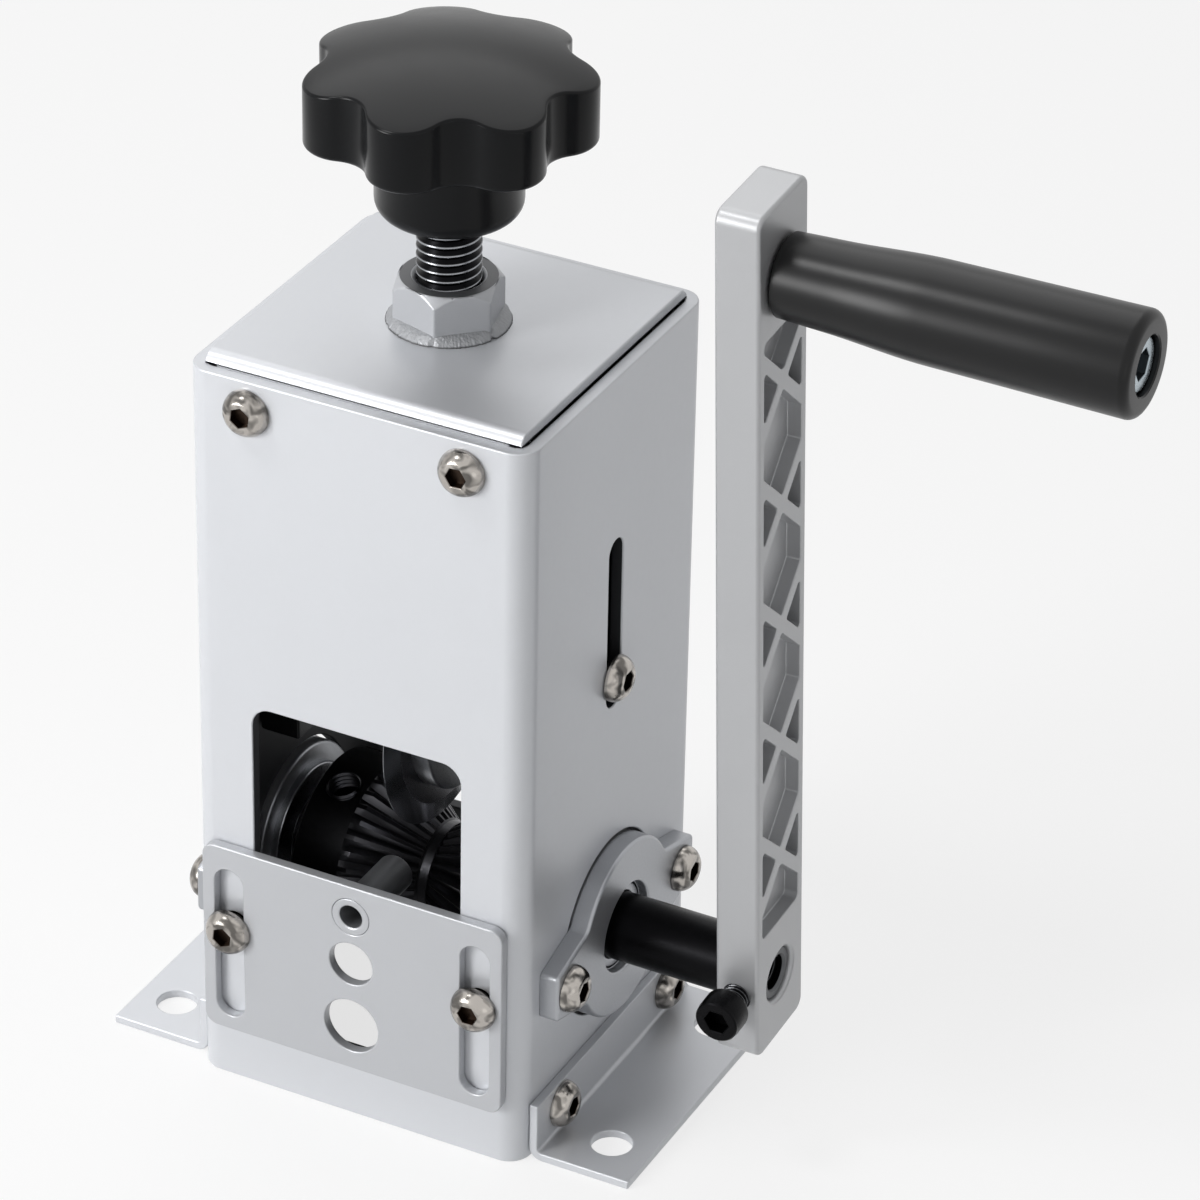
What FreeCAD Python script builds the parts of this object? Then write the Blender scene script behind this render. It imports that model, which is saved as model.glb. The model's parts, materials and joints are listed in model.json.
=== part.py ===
import FreeCAD, Part
import math
import os

from FreeCAD import Placement, Rotation, Vector

os.makedirs("parts", exist_ok=True)

# Bench-top wire stripping machine, in millimetres.
# The origin is the centre of the housing's footprint on the bench.
# X points to the crank side, Y to the back and Z up; the wire enters at the front and leaves at the back.

# Housing: a length of square steel tube, open at both ends
tube_width = 80.0
tube_depth = 80.0
tube_height = 175.0
tube_wall = 3.0
tube_corner = 5.4
window_from_side = 15.0
window_top = 97.0
front_window_sill = 16.5
rear_window_sill = 30.0
window_corner = 4.5

# M6 button-head screws and their nuts
screw_d = 6.0
screw_hole_d = 6.6
screw_play = 0.05
head_d = 10.5
head_crown_d = 6.4
head_bulge_d = 9.3
head_bulge_height = 2.05
head_height = 3.3
head_socket_af = 4.0
head_socket_depth = 1.9
nut_af = 10.0
nut_height = 5.0
screw_end = 1.2
feed_screw_end = 0.0
flange_nut_turn = 30.0

# Folded top plate and the spindle nut welded on it
plate_thickness = 2.5
plate_side_gap = 0.3
plate_bend = 3.0
plate_skirt = 16.0
plate_notch = 2.8
plate_notch_run = 0.6
plate_notch_gap = 0.05
top_screw_from_side = 15.0
top_screw_below_rim = 7.0
spindle_nut_af = 21.0
spindle_nut_height = 10.4
spindle_nut_turn = 13.7
nut_face_d = 20.8
nut_chamfer_angle = 53.0
weld_toe_d = 26.9
weld_bulge_d = 26.0
weld_bulge_height = 0.8
weld_height = 2.3

# Foot brackets, folded from sheet
bracket_thickness = 2.0
bracket_length = 72.0
bracket_reach = 24.0
bracket_height = 14.0
bracket_bend = 1.0
foot_hole_d = 9.0
foot_hole_out = 14.5
foot_hole_spread = 50.0
bracket_screw_spread = 50.0
bracket_screw_z = 8.3

# Drive shaft and its two sealed ball bearings
shaft_z = 40.0
shaft_d = 15.0
shaft_left_end = 43.0
journal_d = 12.0
journal_recess = 1.0
shaft_thread_d = 6.8
shaft_thread_depth = 14.0
shaft_thread_chamfer = 0.7
bearing_od = 32.0
bearing_width = 9.0
bearing_inner_od = 19.0
bearing_outer_id = 27.4
bearing_shield = 0.8
bearing_shield_gap = 0.4
bearing_fit = 0.02

# Two-eared bearing housings
flange_thickness = 4.5
flange_d = 41.0
flange_boss_nut_gap = 0.9
flange_boss_inside = 1.7
flange_lip = 2.0
flange_lip_bore = 20.5
flange_ear_past_screw = 5.8
flange_ear_end = 11.0
flange_ear_root = 19.0
flange_ear_root_y = 17.5
flange_ear_blend = 3.0
flange_edge = 0.8
flange_tip_corner = 1.2
flange_screw_from_side = 13.8
flange_hole_gap = 0.8

# Circlips on the shaft, beside each bearing
circlip_thickness = 1.2
circlip_width = 2.8
circlip_groove = 0.5
circlip_mouth = 7.0
circlip_gap = 0.1

# Toothed feed roller
roller_d = 42.0
roller_end_gap = 5.5
roller_right_end = 15.0
groove_width = 28.0
groove_root_d = 23.0
groove_floor = 2.0
tooth_count = 36
tooth_depth = 1.3
tooth_root_depth = 0.5
tooth_share = 0.72
tooth_runout = 1.5
tooth_stop = 0.6
tooth_lift = 0.4
roller_edge = 0.8
roller_screw_d = 8.0
roller_screw_off_middle = 0.5
roller_screw_angles = (110.0, 290.0)
roller_screw_length = 8.0
roller_screw_socket_af = 4.0
roller_screw_socket_depth = 3.5

# Crank arm with a lattice of pockets, leaning a little to the front at rest
crank_lean = 3.95
crank_radius = 175.0
arm_gap = 26.8
arm_thickness = 10.0
arm_width = 22.0
arm_below_shaft = 16.0
arm_above_grip = 17.5
arm_corner = 3.0
arm_edge = 1.2
arm_bore_chamfer = 0.9
lattice_depth = 3.3
lattice_rail = 2.4
lattice_strut = 3.0
lattice_pitch = 29.6
lattice_first = 31.9
lattice_crosses = 5
lattice_end = 14.9
lattice_top_gap = 13.0
pocket_corner = 0.7

# Clamp screw in the arm's front edge
clamp_head_d = 10.0
clamp_head_height = 6.0
clamp_standoff = 4.0
clamp_socket_af = 5.0
clamp_socket_depth = 3.0

# Revolving grip on its axle bolt
grip_gap = 0.5
grip_length = 76.7
grip_neck_d = 17.6
grip_waist_d = 18.6
grip_swell_d = 21.2
grip_end_d = 22.1
grip_swell_start = 12.0
grip_swell_end = 32.0
grip_waist_slope = 0.05
grip_palm_slope = 0.02
grip_end_edge = 2.0
grip_axle_d = 8.0
grip_axle_play = 0.08
grip_recess_d = 12.4
grip_recess_depth = 5.0
axle_head_d = 11.6
axle_head_height = 3.6
axle_head_gap = 0.3
axle_socket_af = 6.0
axle_socket_depth = 2.6

# Feed plate, clamped on the housing by two screws in its slots
feed_side_inset = 3.5
feed_bottom = 14.0
feed_height = 47.0
feed_thickness = 2.5
feed_corner = 3.0
feed_gap = 0.1
feed_slot_width = 7.0
feed_slot_from_side = 10.0
feed_slot_low = 17.5
feed_slot_high = 55.5
feed_screw_z = 40.0
guide_hole_z = 53.3
middle_hole_z = 41.2
middle_hole_d = 10.4
lower_hole_z = 25.1
lower_hole_d = 13.1
guide_collar_d = 8.9
guide_tube_d = 8.4
guide_bore_d = 5.4
guide_length = 20.1

# Round blade and its hub
blade_d = 56.4
blade_thickness = 3.0
blade_bevel = 5.0
blade_edge = 0.2
cut_gap = 5.3
hub_d = 38.0
hub_thickness = 4.2
hub_spigot_d = 20.0
hub_ring_d = 30.0
hub_ring_thickness = 4.0
hub_fit = 0.05
bush_wall = 3.0
axle_d = 10.0
axle_play = 0.06
axle_inset = 0.4
hub_side_gap = 0.3
spacer_wall = 2.5

# Blade carriage, guided by two screws in the housing's side slots
carriage_gap = 0.4
leg_thickness = 9.5
leg_depth = 34.0
leg_below_axle = 9.8
bridge_gap = 4.8
bridge_thickness = 12.0
yoke_corner = 1.0
yoke_inner_corner = 4.0
guide_above_axle = 17.2
side_slot_width = 6.5
guide_head_gap = 0.2
guide_screw_short = 1.0
travel_down = 4.0
travel_up = 30.5

# Pressure spindle and its star knob
spindle_d = 13.8
spindle_play = 0.08
spindle_plate_gap = 0.5
spindle_countersink = 0.8
spindle_journal_d = 10.0
spindle_into_knob = 20.0
spindle_end = 2.4
washer_d = 22.0
washer_thickness = 2.0
washer_gap = 0.1
clip_thickness = 1.2
clip_d = 15.0
clip_gap = 0.3
clip_groove = 0.6
clip_mouth = 3.0
knob_standoff = 14.4
knob_hub_d = 31.0
knob_hub_height = 18.2
knob_hub_round = 4.0
knob_d = 61.2
knob_rim_height = 13.6
knob_crown = 5.0
knob_lobes = 7
knob_lobe_radius = 8.7
knob_valley_d = 50.7
knob_lobe_turn = 19.3
knob_edge = 0.8

# Small edge chamfers, and the overrun of a cutting tool past a face
edge_break = 0.5
over = 1.0
tiny = 0.01
seat_gap = 0.05

# Places worked out from the sizes above
half_width = tube_width / 2
half_depth = tube_depth / 2
inner_x = half_width - tube_wall
inner_y = half_depth - tube_wall
window_x = half_width - window_from_side
top_screw_x = half_width - top_screw_from_side
feed_side_x = half_width - feed_side_inset
feed_slot_x = half_width - feed_slot_from_side
plate_top = tube_height + plate_thickness
flange_face = half_width + flange_thickness
flange_screw_y = half_depth - flange_screw_from_side
flange_ear_reach = flange_screw_y + flange_ear_past_screw
flange_boss_d = 2 * (flange_screw_y - nut_af / 2 - flange_boss_nut_gap)
flange_hole_d = flange_boss_d + 2 * flange_hole_gap
bearing_outer_x = flange_face - flange_lip
bearing_inner_x = bearing_outer_x - bearing_width
roller_left_end = bearing_inner_x - roller_end_gap
roller_screw_x = -(roller_left_end + groove_width / 2) / 2 - roller_screw_off_middle
arm_inner_x = flange_face + arm_gap
arm_outer_x = arm_inner_x + arm_thickness
grip_start_x = arm_outer_x + grip_gap
grip_end_x = grip_start_x + grip_length
blade_radius = blade_d / 2
axle_z = shaft_z + groove_root_d / 2 + cut_gap + blade_radius
guide_z = axle_z + guide_above_axle
leg_outer_x = inner_x - carriage_gap
leg_inner_x = leg_outer_x - leg_thickness
bridge_bottom = axle_z + blade_radius + bridge_gap
bridge_top = bridge_bottom + bridge_thickness
shoulder_z = bridge_top + washer_thickness + washer_gap
nut_top = plate_top + spindle_nut_height
hub_bottom = nut_top + knob_standoff
star_bottom = hub_bottom + knob_hub_height
star_rim = star_bottom + knob_rim_height
shaft_point = Vector(0, 0, shaft_z)


def point(axis, along, a, b):
    """A point at a distance along an axis, with its other two coordinates in X, Y, Z order."""
    if axis == "x":
        return Vector(along, a, b)
    if axis == "y":
        return Vector(a, along, b)
    return Vector(a, b, along)


def direction(axis):
    return point(axis, 1, 0, 0)


def box(x0, x1, y0, y1, z0, z1):
    return Part.makeBox(x1 - x0, y1 - y0, z1 - z0, Vector(x0, y0, z0))


def rod(axis, diameter, low, high, a=0.0, b=0.0):
    """A round bar or a cutter for a round hole, from low to high along an axis."""
    return Part.makeCylinder(diameter / 2, high - low, point(axis, low, a, b), direction(axis))


def sleeve(axis, outer_d, inner_d, low, high, a=0.0, b=0.0):
    return rod(axis, outer_d, low, high, a, b).cut(rod(axis, inner_d, low, high, a, b))


def rounded_wire(corners, radius):
    """A closed wire through corner points, each corner rounded by an arc."""
    edges = []
    starts = []
    ends = []
    for i, corner in enumerate(corners):
        back = (corners[i - 1] - corner).normalize()
        ahead = (corners[(i + 1) % len(corners)] - corner).normalize()
        half = back.getAngle(ahead) / 2
        run = radius / math.tan(half)
        inward = (back + ahead).normalize()
        start = corner + back * run
        end = corner + ahead * run
        middle = corner + inward * (radius / math.sin(half) - radius)
        edges.append(Part.Arc(start, middle, end).toShape())
        starts.append(start)
        ends.append(end)
    for i in range(len(corners)):
        if ends[i - 1].distanceToPoint(starts[i]) > tiny:
            edges.append(Part.makeLine(ends[i - 1], starts[i]))
    return Part.Wire(Part.__sortEdges__(edges))


def rounded_slab(axis, corners, radius, low, high):
    """A slab across an axis, from low to high, whose outline has rounded corners."""
    outline = rounded_wire([point(axis, low, a, b) for a, b in corners], radius)
    return Part.Face(outline).extrude(direction(axis) * (high - low))


def sharp_slab(axis, corners, low, high):
    points = [point(axis, low, a, b) for a, b in corners]
    return Part.Face(Part.makePolygon(points + points[:1])).extrude(direction(axis) * (high - low))


def rectangle(a0, a1, b0, b1):
    return [(a0, b0), (a1, b0), (a1, b1), (a0, b1)]


def turned(axis, edges, centre):
    """A solid of revolution from profile edges drawn in a plane that holds the axis."""
    face = Part.Face(Part.Wire(Part.__sortEdges__(edges)))
    return face.revolve(centre, direction(axis), 360)


def turned_profile(axis, profile, centre):
    """A solid of revolution from straight profile points (along the axis, radius)."""
    if axis == "x":
        points = [centre + Vector(along, 0, radius) for along, radius in profile]
    else:
        points = [centre + Vector(radius, 0, along) for along, radius in profile]
    lines = [Part.makeLine(points[i - 1], points[i]) for i in range(len(points))]
    return turned(axis, lines, centre)


def hexagon(across_flats, low, high, turn=0.0):
    """A hexagonal prism along Z."""
    corner_radius = across_flats / math.sqrt(3)
    corners = []
    for k in range(6):
        angle = math.radians(turn + 30 + 60 * k)
        corners.append((corner_radius * math.cos(angle), corner_radius * math.sin(angle)))
    return sharp_slab("z", corners, low, high)


def placed(shape, at, pointing):
    """A copy of a shape made along +Z, moved to a point and turned to point another way."""
    copy = shape.copy()
    copy.Placement = Placement(at, Rotation(Vector(0, 0, 1), pointing))
    return copy


def button_screw(grip):
    """An M6 button-head screw: the head's seat at the origin, the shank grip long below it."""
    seat = Vector(head_d / 2, 0, 0)
    crown = Vector(head_crown_d / 2, 0, head_height)
    bulge = Vector(head_bulge_d / 2, 0, head_bulge_height)
    edges = [
        Part.makeLine(Vector(0, 0, 0), seat),
        Part.Arc(seat, bulge, crown).toShape(),
        Part.makeLine(crown, Vector(0, 0, head_height)),
        Part.makeLine(Vector(0, 0, head_height), Vector(0, 0, 0)),
    ]
    head = turned("z", edges, Vector(0, 0, 0))
    shank = rod("z", screw_d - 2 * screw_play, -grip, 0)
    socket = hexagon(head_socket_af, head_height - head_socket_depth, head_height + over)
    return head.fuse(shank).cut(socket).removeSplitter()


def hex_nut(turn=0.0):
    """An M6 nut whose seat is at the origin and whose body runs down -Z."""
    thread = rod("z", screw_d + 2 * screw_play, -nut_height, 0)
    return hexagon(nut_af, -nut_height, 0, turn).cut(thread)


def mirrored(shape):
    """The same piece on the other side of the machine's middle plane."""
    return shape.mirror(Vector(0, 0, 0), Vector(1, 0, 0))


def leaned(shape):
    """A crank piece, modelled with its arm straight up, turned to the crank's rest angle."""
    copy = shape.copy()
    copy.rotate(shaft_point, Vector(1, 0, 0), crank_lean)
    return copy


def export(name, solids):
    """Write one node: a single solid, or a group of separate solids."""
    shape = solids[0] if len(solids) == 1 else Part.makeCompound(solids)
    shape.exportStep("parts/" + name + ".step")


def housing_tube():
    """Square tube with the front and rear windows, the side slots and the bearing and screw holes."""
    outer = rectangle(-half_width, half_width, -half_depth, half_depth)
    inner = rectangle(-inner_x, inner_x, -inner_y, inner_y)
    tube = rounded_slab("z", outer, tube_corner, 0, tube_height)
    tube = tube.cut(rounded_slab("z", inner, tube_corner - tube_wall, 0, tube_height))
    cutters = []
    top_screw_z = tube_height - top_screw_below_rim
    for side, sill in ((-1, front_window_sill), (1, rear_window_sill)):
        outline = rectangle(-window_x, window_x, sill, window_top)
        ends = sorted((side * (inner_y - over), side * (half_depth + over)))
        cutters.append(rounded_slab("y", outline, window_corner, ends[0], ends[1]))
        for x in (-top_screw_x, top_screw_x):
            cutters.append(rod("y", screw_hole_d, ends[0], ends[1], x, top_screw_z))
    for x in (-feed_slot_x, feed_slot_x):
        cutters.append(rod("y", screw_hole_d, -half_depth - over, -inner_y + over, x, feed_screw_z))
    slot_low = guide_z - travel_down - side_slot_width / 2
    slot_high = guide_z + travel_up + side_slot_width / 2
    slot = rectangle(-side_slot_width / 2, side_slot_width / 2, slot_low, slot_high)
    for side in (-1, 1):
        ends = sorted((side * (inner_x - over), side * (half_width + over)))
        cutters.append(rounded_slab("x", slot, side_slot_width / 2, ends[0], ends[1]))
        cutters.append(rod("x", flange_hole_d, ends[0], ends[1], 0, shaft_z))
        for y in (-flange_screw_y, flange_screw_y):
            cutters.append(rod("x", screw_hole_d, ends[0], ends[1], y, shaft_z))
        for y in (-bracket_screw_spread / 2, bracket_screw_spread / 2):
            cutters.append(rod("x", screw_hole_d, ends[0], ends[1], y, bracket_screw_z))
    return tube.cut(cutters)


def top_plate():
    """Sheet folded down at front and back, notched at its corners to drop inside the tube."""
    half = inner_x - plate_side_gap
    under = tube_height
    skirt_end = plate_top - plate_skirt
    bend_y = inner_y - plate_bend
    bend_z = plate_top - plate_bend
    inner_bend = plate_bend - plate_thickness
    slant = math.sqrt(0.5)

    def at(y, z):
        return Vector(-half, y, z)

    def skirt(side):
        outer = [
            Part.Arc(
                at(side * bend_y, plate_top),
                at(side * (bend_y + plate_bend * slant), bend_z + plate_bend * slant),
                at(side * inner_y, bend_z),
            ).toShape(),
            Part.makeLine(at(side * inner_y, bend_z), at(side * inner_y, skirt_end)),
            Part.makeLine(at(side * inner_y, skirt_end), at(side * (inner_y - plate_thickness), skirt_end)),
            Part.makeLine(
                at(side * (inner_y - plate_thickness), skirt_end),
                at(side * (inner_y - plate_thickness), bend_z),
            ),
            Part.Arc(
                at(side * (inner_y - plate_thickness), bend_z),
                at(side * (bend_y + inner_bend * slant), bend_z + inner_bend * slant),
                at(side * bend_y, under),
            ).toShape(),
        ]
        return outer

    edges = skirt(-1) + skirt(1)
    edges.append(Part.makeLine(at(-bend_y, plate_top), at(bend_y, plate_top)))
    edges.append(Part.makeLine(at(-bend_y, under), at(bend_y, under)))
    plate = Part.Face(Part.Wire(Part.__sortEdges__(edges))).extrude(Vector(2 * half, 0, 0))
    cutters = [rod("z", spindle_d + 2 * spindle_plate_gap, under - over, plate_top + over)]
    top_screw_z = tube_height - top_screw_below_rim
    for side in (-1, 1):
        for x in (-top_screw_x, top_screw_x):
            ends = sorted((side * (inner_y - plate_thickness - over), side * (inner_y + over)))
            cutters.append(rod("y", screw_hole_d, ends[0], ends[1], x, top_screw_z))
        for end in (-1, 1):
            xs = sorted((side * (half - plate_notch), side * (half + over)))
            ys = sorted((end * (bend_y - plate_notch_run), end * (inner_y + over)))
            notch_top = tube_height + plate_notch_gap
            cutters.append(box(xs[0], xs[1], ys[0], ys[1], skirt_end - over, notch_top))
    return plate.cut(cutters)


def spindle_nut():
    """Heavy hexagon nut with its corners turned off at the top and a countersunk bore."""
    body = hexagon(spindle_nut_af, plate_top, nut_top, spindle_nut_turn)
    corner = spindle_nut_af / math.sqrt(3) + tiny
    envelope = [
        (plate_top, 0),
        (plate_top, corner),
        (nut_top - (corner - nut_face_d / 2) * math.tan(math.radians(nut_chamfer_angle)), corner),
        (nut_top, nut_face_d / 2),
        (nut_top, 0),
    ]
    body = body.common(turned_profile("z", envelope, Vector(0, 0, 0)))
    bore_r = spindle_d / 2 + spindle_play
    bore = [
        (plate_top, 0),
        (plate_top, bore_r),
        (nut_top - spindle_countersink, bore_r),
        (nut_top, bore_r + spindle_countersink),
        (nut_top, 0),
    ]
    return body.cut(turned_profile("z", bore, Vector(0, 0, 0)))


def nut_weld():
    """Fillet weld that joins the nut's foot to the top plate."""
    inside = spindle_nut_af / 2 - over
    profile = [
        (plate_top, inside),
        (plate_top, weld_toe_d / 2),
        (plate_top + weld_bulge_height, weld_bulge_d / 2),
        (plate_top + weld_height, spindle_nut_af / 2),
        (plate_top + weld_height, inside),
    ]
    bead = turned_profile("z", profile, Vector(0, 0, 0))
    return bead.cut(hexagon(spindle_nut_af, plate_top - over, nut_top, spindle_nut_turn))


def foot_bracket():
    """Right-hand foot: an angle folded from sheet, with two bench holes."""
    outer_bend = bracket_bend + bracket_thickness
    slant = math.sqrt(0.5)
    face_x = half_width
    toe_x = half_width + bracket_reach
    front = -bracket_length / 2

    def at(x, z):
        return Vector(x, front, z)

    bend_x = face_x + outer_bend
    inner_face_x = face_x + bracket_thickness
    edges = [
        Part.makeLine(at(face_x, bracket_height), at(face_x, outer_bend)),
        Part.Arc(
            at(face_x, outer_bend),
            at(bend_x - outer_bend * slant, outer_bend - outer_bend * slant),
            at(bend_x, 0),
        ).toShape(),
        Part.makeLine(at(bend_x, 0), at(toe_x, 0)),
        Part.makeLine(at(toe_x, 0), at(toe_x, bracket_thickness)),
        Part.makeLine(at(toe_x, bracket_thickness), at(bend_x, bracket_thickness)),
        Part.Arc(
            at(bend_x, bracket_thickness),
            at(bend_x - bracket_bend * slant, outer_bend - bracket_bend * slant),
            at(inner_face_x, outer_bend),
        ).toShape(),
        Part.makeLine(at(inner_face_x, outer_bend), at(inner_face_x, bracket_height)),
        Part.makeLine(at(inner_face_x, bracket_height), at(face_x, bracket_height)),
    ]
    bracket = Part.Face(Part.Wire(Part.__sortEdges__(edges))).extrude(Vector(0, bracket_length, 0))
    for y in (-foot_hole_spread / 2, foot_hole_spread / 2):
        foot_x = half_width + foot_hole_out
        bracket = bracket.cut(rod("z", foot_hole_d, -over, bracket_thickness + over, foot_x, y))
    for y in (-bracket_screw_spread / 2, bracket_screw_spread / 2):
        end_x = half_width + bracket_thickness + over
        bracket = bracket.cut(rod("x", screw_hole_d, half_width - over, end_x, y, bracket_screw_z))
    return bracket


def bearing_housing():
    """Right-hand bearing housing: a disc with two ears outside the wall and a boss through it."""
    disc = rod("x", flange_d, half_width, flange_face, 0, shaft_z)
    reach = flange_ear_reach
    ears = sharp_slab(
        "x",
        [
            (-reach, shaft_z - flange_ear_end / 2),
            (-flange_ear_root_y, shaft_z - flange_ear_root / 2),
            (flange_ear_root_y, shaft_z - flange_ear_root / 2),
            (reach, shaft_z - flange_ear_end / 2),
            (reach, shaft_z + flange_ear_end / 2),
            (flange_ear_root_y, shaft_z + flange_ear_root / 2),
            (-flange_ear_root_y, shaft_z + flange_ear_root / 2),
            (-reach, shaft_z + flange_ear_end / 2),
        ],
        half_width,
        flange_face,
    )
    body = disc.fuse(ears).removeSplitter()
    along_x = [e for e in body.Edges if e.BoundBox.XLength > flange_thickness - tiny]
    waist = [e for e in along_x if flange_ear_root_y < abs(e.BoundBox.YMin) < flange_d / 2]
    body = body.makeFillet(flange_ear_blend, waist)
    tips = [e for e in body.Edges if abs(e.BoundBox.YMin) > reach - tiny and e.BoundBox.XLength > tiny]
    body = body.makeFillet(flange_tip_corner, tips)
    face_edges = [e for e in body.Edges if e.BoundBox.XMin > flange_face - tiny]
    body = body.makeFillet(flange_edge, face_edges)
    boss_end = inner_x - flange_boss_inside
    body = body.fuse(rod("x", flange_boss_d, boss_end, half_width + over, 0, shaft_z))
    body = body.cut(rod("x", bearing_od + 2 * bearing_fit, boss_end - over, bearing_outer_x, 0, shaft_z))
    body = body.cut(rod("x", flange_lip_bore, bearing_outer_x - over, flange_face + over, 0, shaft_z))
    for y in (-flange_screw_y, flange_screw_y):
        body = body.cut(rod("x", screw_hole_d, half_width - over, flange_face + over, y, shaft_z))
    return body.removeSplitter()


def bearing_outer_ring():
    """Right-hand outer ring with a thin shield pressed into each side."""
    r_out = bearing_od / 2
    r_in = bearing_outer_id / 2
    r_shield = bearing_inner_od / 2 + bearing_shield_gap
    low = bearing_inner_x
    high = bearing_outer_x
    profile = [
        (low, r_out),
        (high, r_out),
        (high, r_shield),
        (high - bearing_shield, r_shield),
        (high - bearing_shield, r_in),
        (low + bearing_shield, r_in),
        (low + bearing_shield, r_shield),
        (low, r_shield),
    ]
    return turned_profile("x", profile, shaft_point)


def bearing_inner_ring():
    bore = shaft_d + 2 * bearing_fit
    return sleeve("x", bearing_inner_od, bore, bearing_inner_x, bearing_outer_x, 0, shaft_z)


def shaft_circlip():
    """Right-hand external circlip, open at the bottom."""
    outer = shaft_d - 2 * circlip_groove + 2 * circlip_width
    inner = shaft_d - 2 * circlip_groove
    high = bearing_inner_x - circlip_gap
    low = high - circlip_thickness
    ring = sleeve("x", outer, inner, low, high, 0, shaft_z)
    mouth = circlip_mouth / 2
    mouth_top = shaft_z - inner / 2 + over
    return ring.cut(box(low - over, high + over, -mouth, mouth, shaft_z - outer, mouth_top))


def drive_shaft():
    """Shaft with circlip grooves, a shoulder at the arm and a tapped end."""
    tip = arm_outer_x - journal_recess
    groove_high = bearing_inner_x - circlip_gap
    groove_low = groove_high - circlip_thickness
    groove_r = shaft_d / 2 - circlip_groove
    full_r = shaft_d / 2
    profile = [
        (-shaft_left_end, 0),
        (-shaft_left_end, full_r - edge_break),
        (-shaft_left_end + edge_break, full_r),
        (-groove_high, full_r),
        (-groove_high, groove_r),
        (-groove_low, groove_r),
        (-groove_low, full_r),
        (groove_low, full_r),
        (groove_low, groove_r),
        (groove_high, groove_r),
        (groove_high, full_r),
        (arm_inner_x, full_r),
        (arm_inner_x, journal_d / 2),
        (tip - edge_break, journal_d / 2),
        (tip, journal_d / 2 - edge_break),
        (tip, shaft_thread_d / 2 + shaft_thread_chamfer),
        (tip - shaft_thread_chamfer, shaft_thread_d / 2),
        (tip - shaft_thread_depth, shaft_thread_d / 2),
        (tip - shaft_thread_depth, 0),
    ]
    return turned_profile("x", profile, shaft_point)


def tooth_cutter(side):
    """A wedge that cuts one tooth gap down the groove's flank on one side, at the top of the roller."""
    rim = Vector(side * groove_width / 2, 0, roller_d / 2)
    root = Vector(side * groove_floor / 2, 0, groove_root_d / 2)
    down = (root - rim).normalize()
    outward = Vector(-side * abs(down.z), 0, abs(down.x))
    pitch_at_rim = math.pi * roller_d / tooth_count
    pitch_at_root = math.pi * groove_root_d / tooth_count
    wires = []
    for place, pitch, depth in (
        (rim - down * tooth_runout, pitch_at_rim, tooth_depth),
        (root - down * tooth_stop, pitch_at_root, tooth_root_depth),
    ):
        half = pitch * tooth_share / 2
        lift = place + outward * tooth_lift
        corners = [
            lift + Vector(0, -half, 0),
            lift + Vector(0, half, 0),
            place - outward * depth,
        ]
        wires.append(Part.makePolygon(corners + corners[:1]))
    cutter = Part.makeLoft(wires, True, True)
    cutter.translate(shaft_point)
    return cutter


def feed_roller_half(side, profile):
    """One half of the roller, its half of the V groove toothed all round and bored for the shaft."""
    half = turned_profile("x", profile, shaft_point)
    first = tooth_cutter(side)
    bore_d = shaft_d + 2 * bearing_fit
    cutters = [rod("x", bore_d, -roller_left_end - over, roller_right_end + over, 0, shaft_z)]
    for k in range(tooth_count):
        cutter = first.copy()
        cutter.rotate(shaft_point, Vector(1, 0, 0), 360 * (k + 0.5) / tooth_count)
        cutters.append(cutter)
    return half.cut(cutters)


def feed_roller_left():
    """Left half, with a plain hub for the set screws."""
    radius = roller_d / 2
    profile = [
        (-roller_left_end, 0),
        (-roller_left_end, radius - roller_edge),
        (-roller_left_end + roller_edge, radius),
        (-groove_width / 2, radius),
        (-groove_floor / 2, groove_root_d / 2),
        (0, groove_root_d / 2),
        (0, 0),
    ]
    half = feed_roller_half(-1, profile)
    far = radius + over
    return half.cut([roller_screw_bar(angle, roller_screw_d, 0, far) for angle in roller_screw_angles])


def feed_roller_right():
    radius = roller_d / 2
    profile = [
        (0, 0),
        (0, groove_root_d / 2),
        (groove_floor / 2, groove_root_d / 2),
        (groove_width / 2, radius),
        (roller_right_end, radius),
        (roller_right_end, 0),
    ]
    return feed_roller_half(1, profile)


def roller_screw_bar(angle, diameter, near, far):
    """A bar that points from the shaft's axis through a hub screw hole."""
    turn = math.radians(angle)
    outward = Vector(0, math.cos(turn), math.sin(turn))
    start = shaft_point + Vector(roller_screw_x, 0, 0) + outward * near
    return Part.makeCylinder(diameter / 2, far - near, start, outward)


def roller_set_screw(angle):
    """Headless set screw with a hexagon socket, its tip on the shaft."""
    turn = math.radians(angle)
    outward = Vector(0, math.cos(turn), math.sin(turn))
    near = shaft_d / 2 + seat_gap
    far = near + roller_screw_length
    screw = roller_screw_bar(angle, roller_screw_d - 2 * screw_play, near, far)
    socket = hexagon(roller_screw_socket_af, -roller_screw_socket_depth, over)
    at = shaft_point + Vector(roller_screw_x, 0, 0) + outward * far
    return screw.cut(placed(socket, at, outward))


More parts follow.
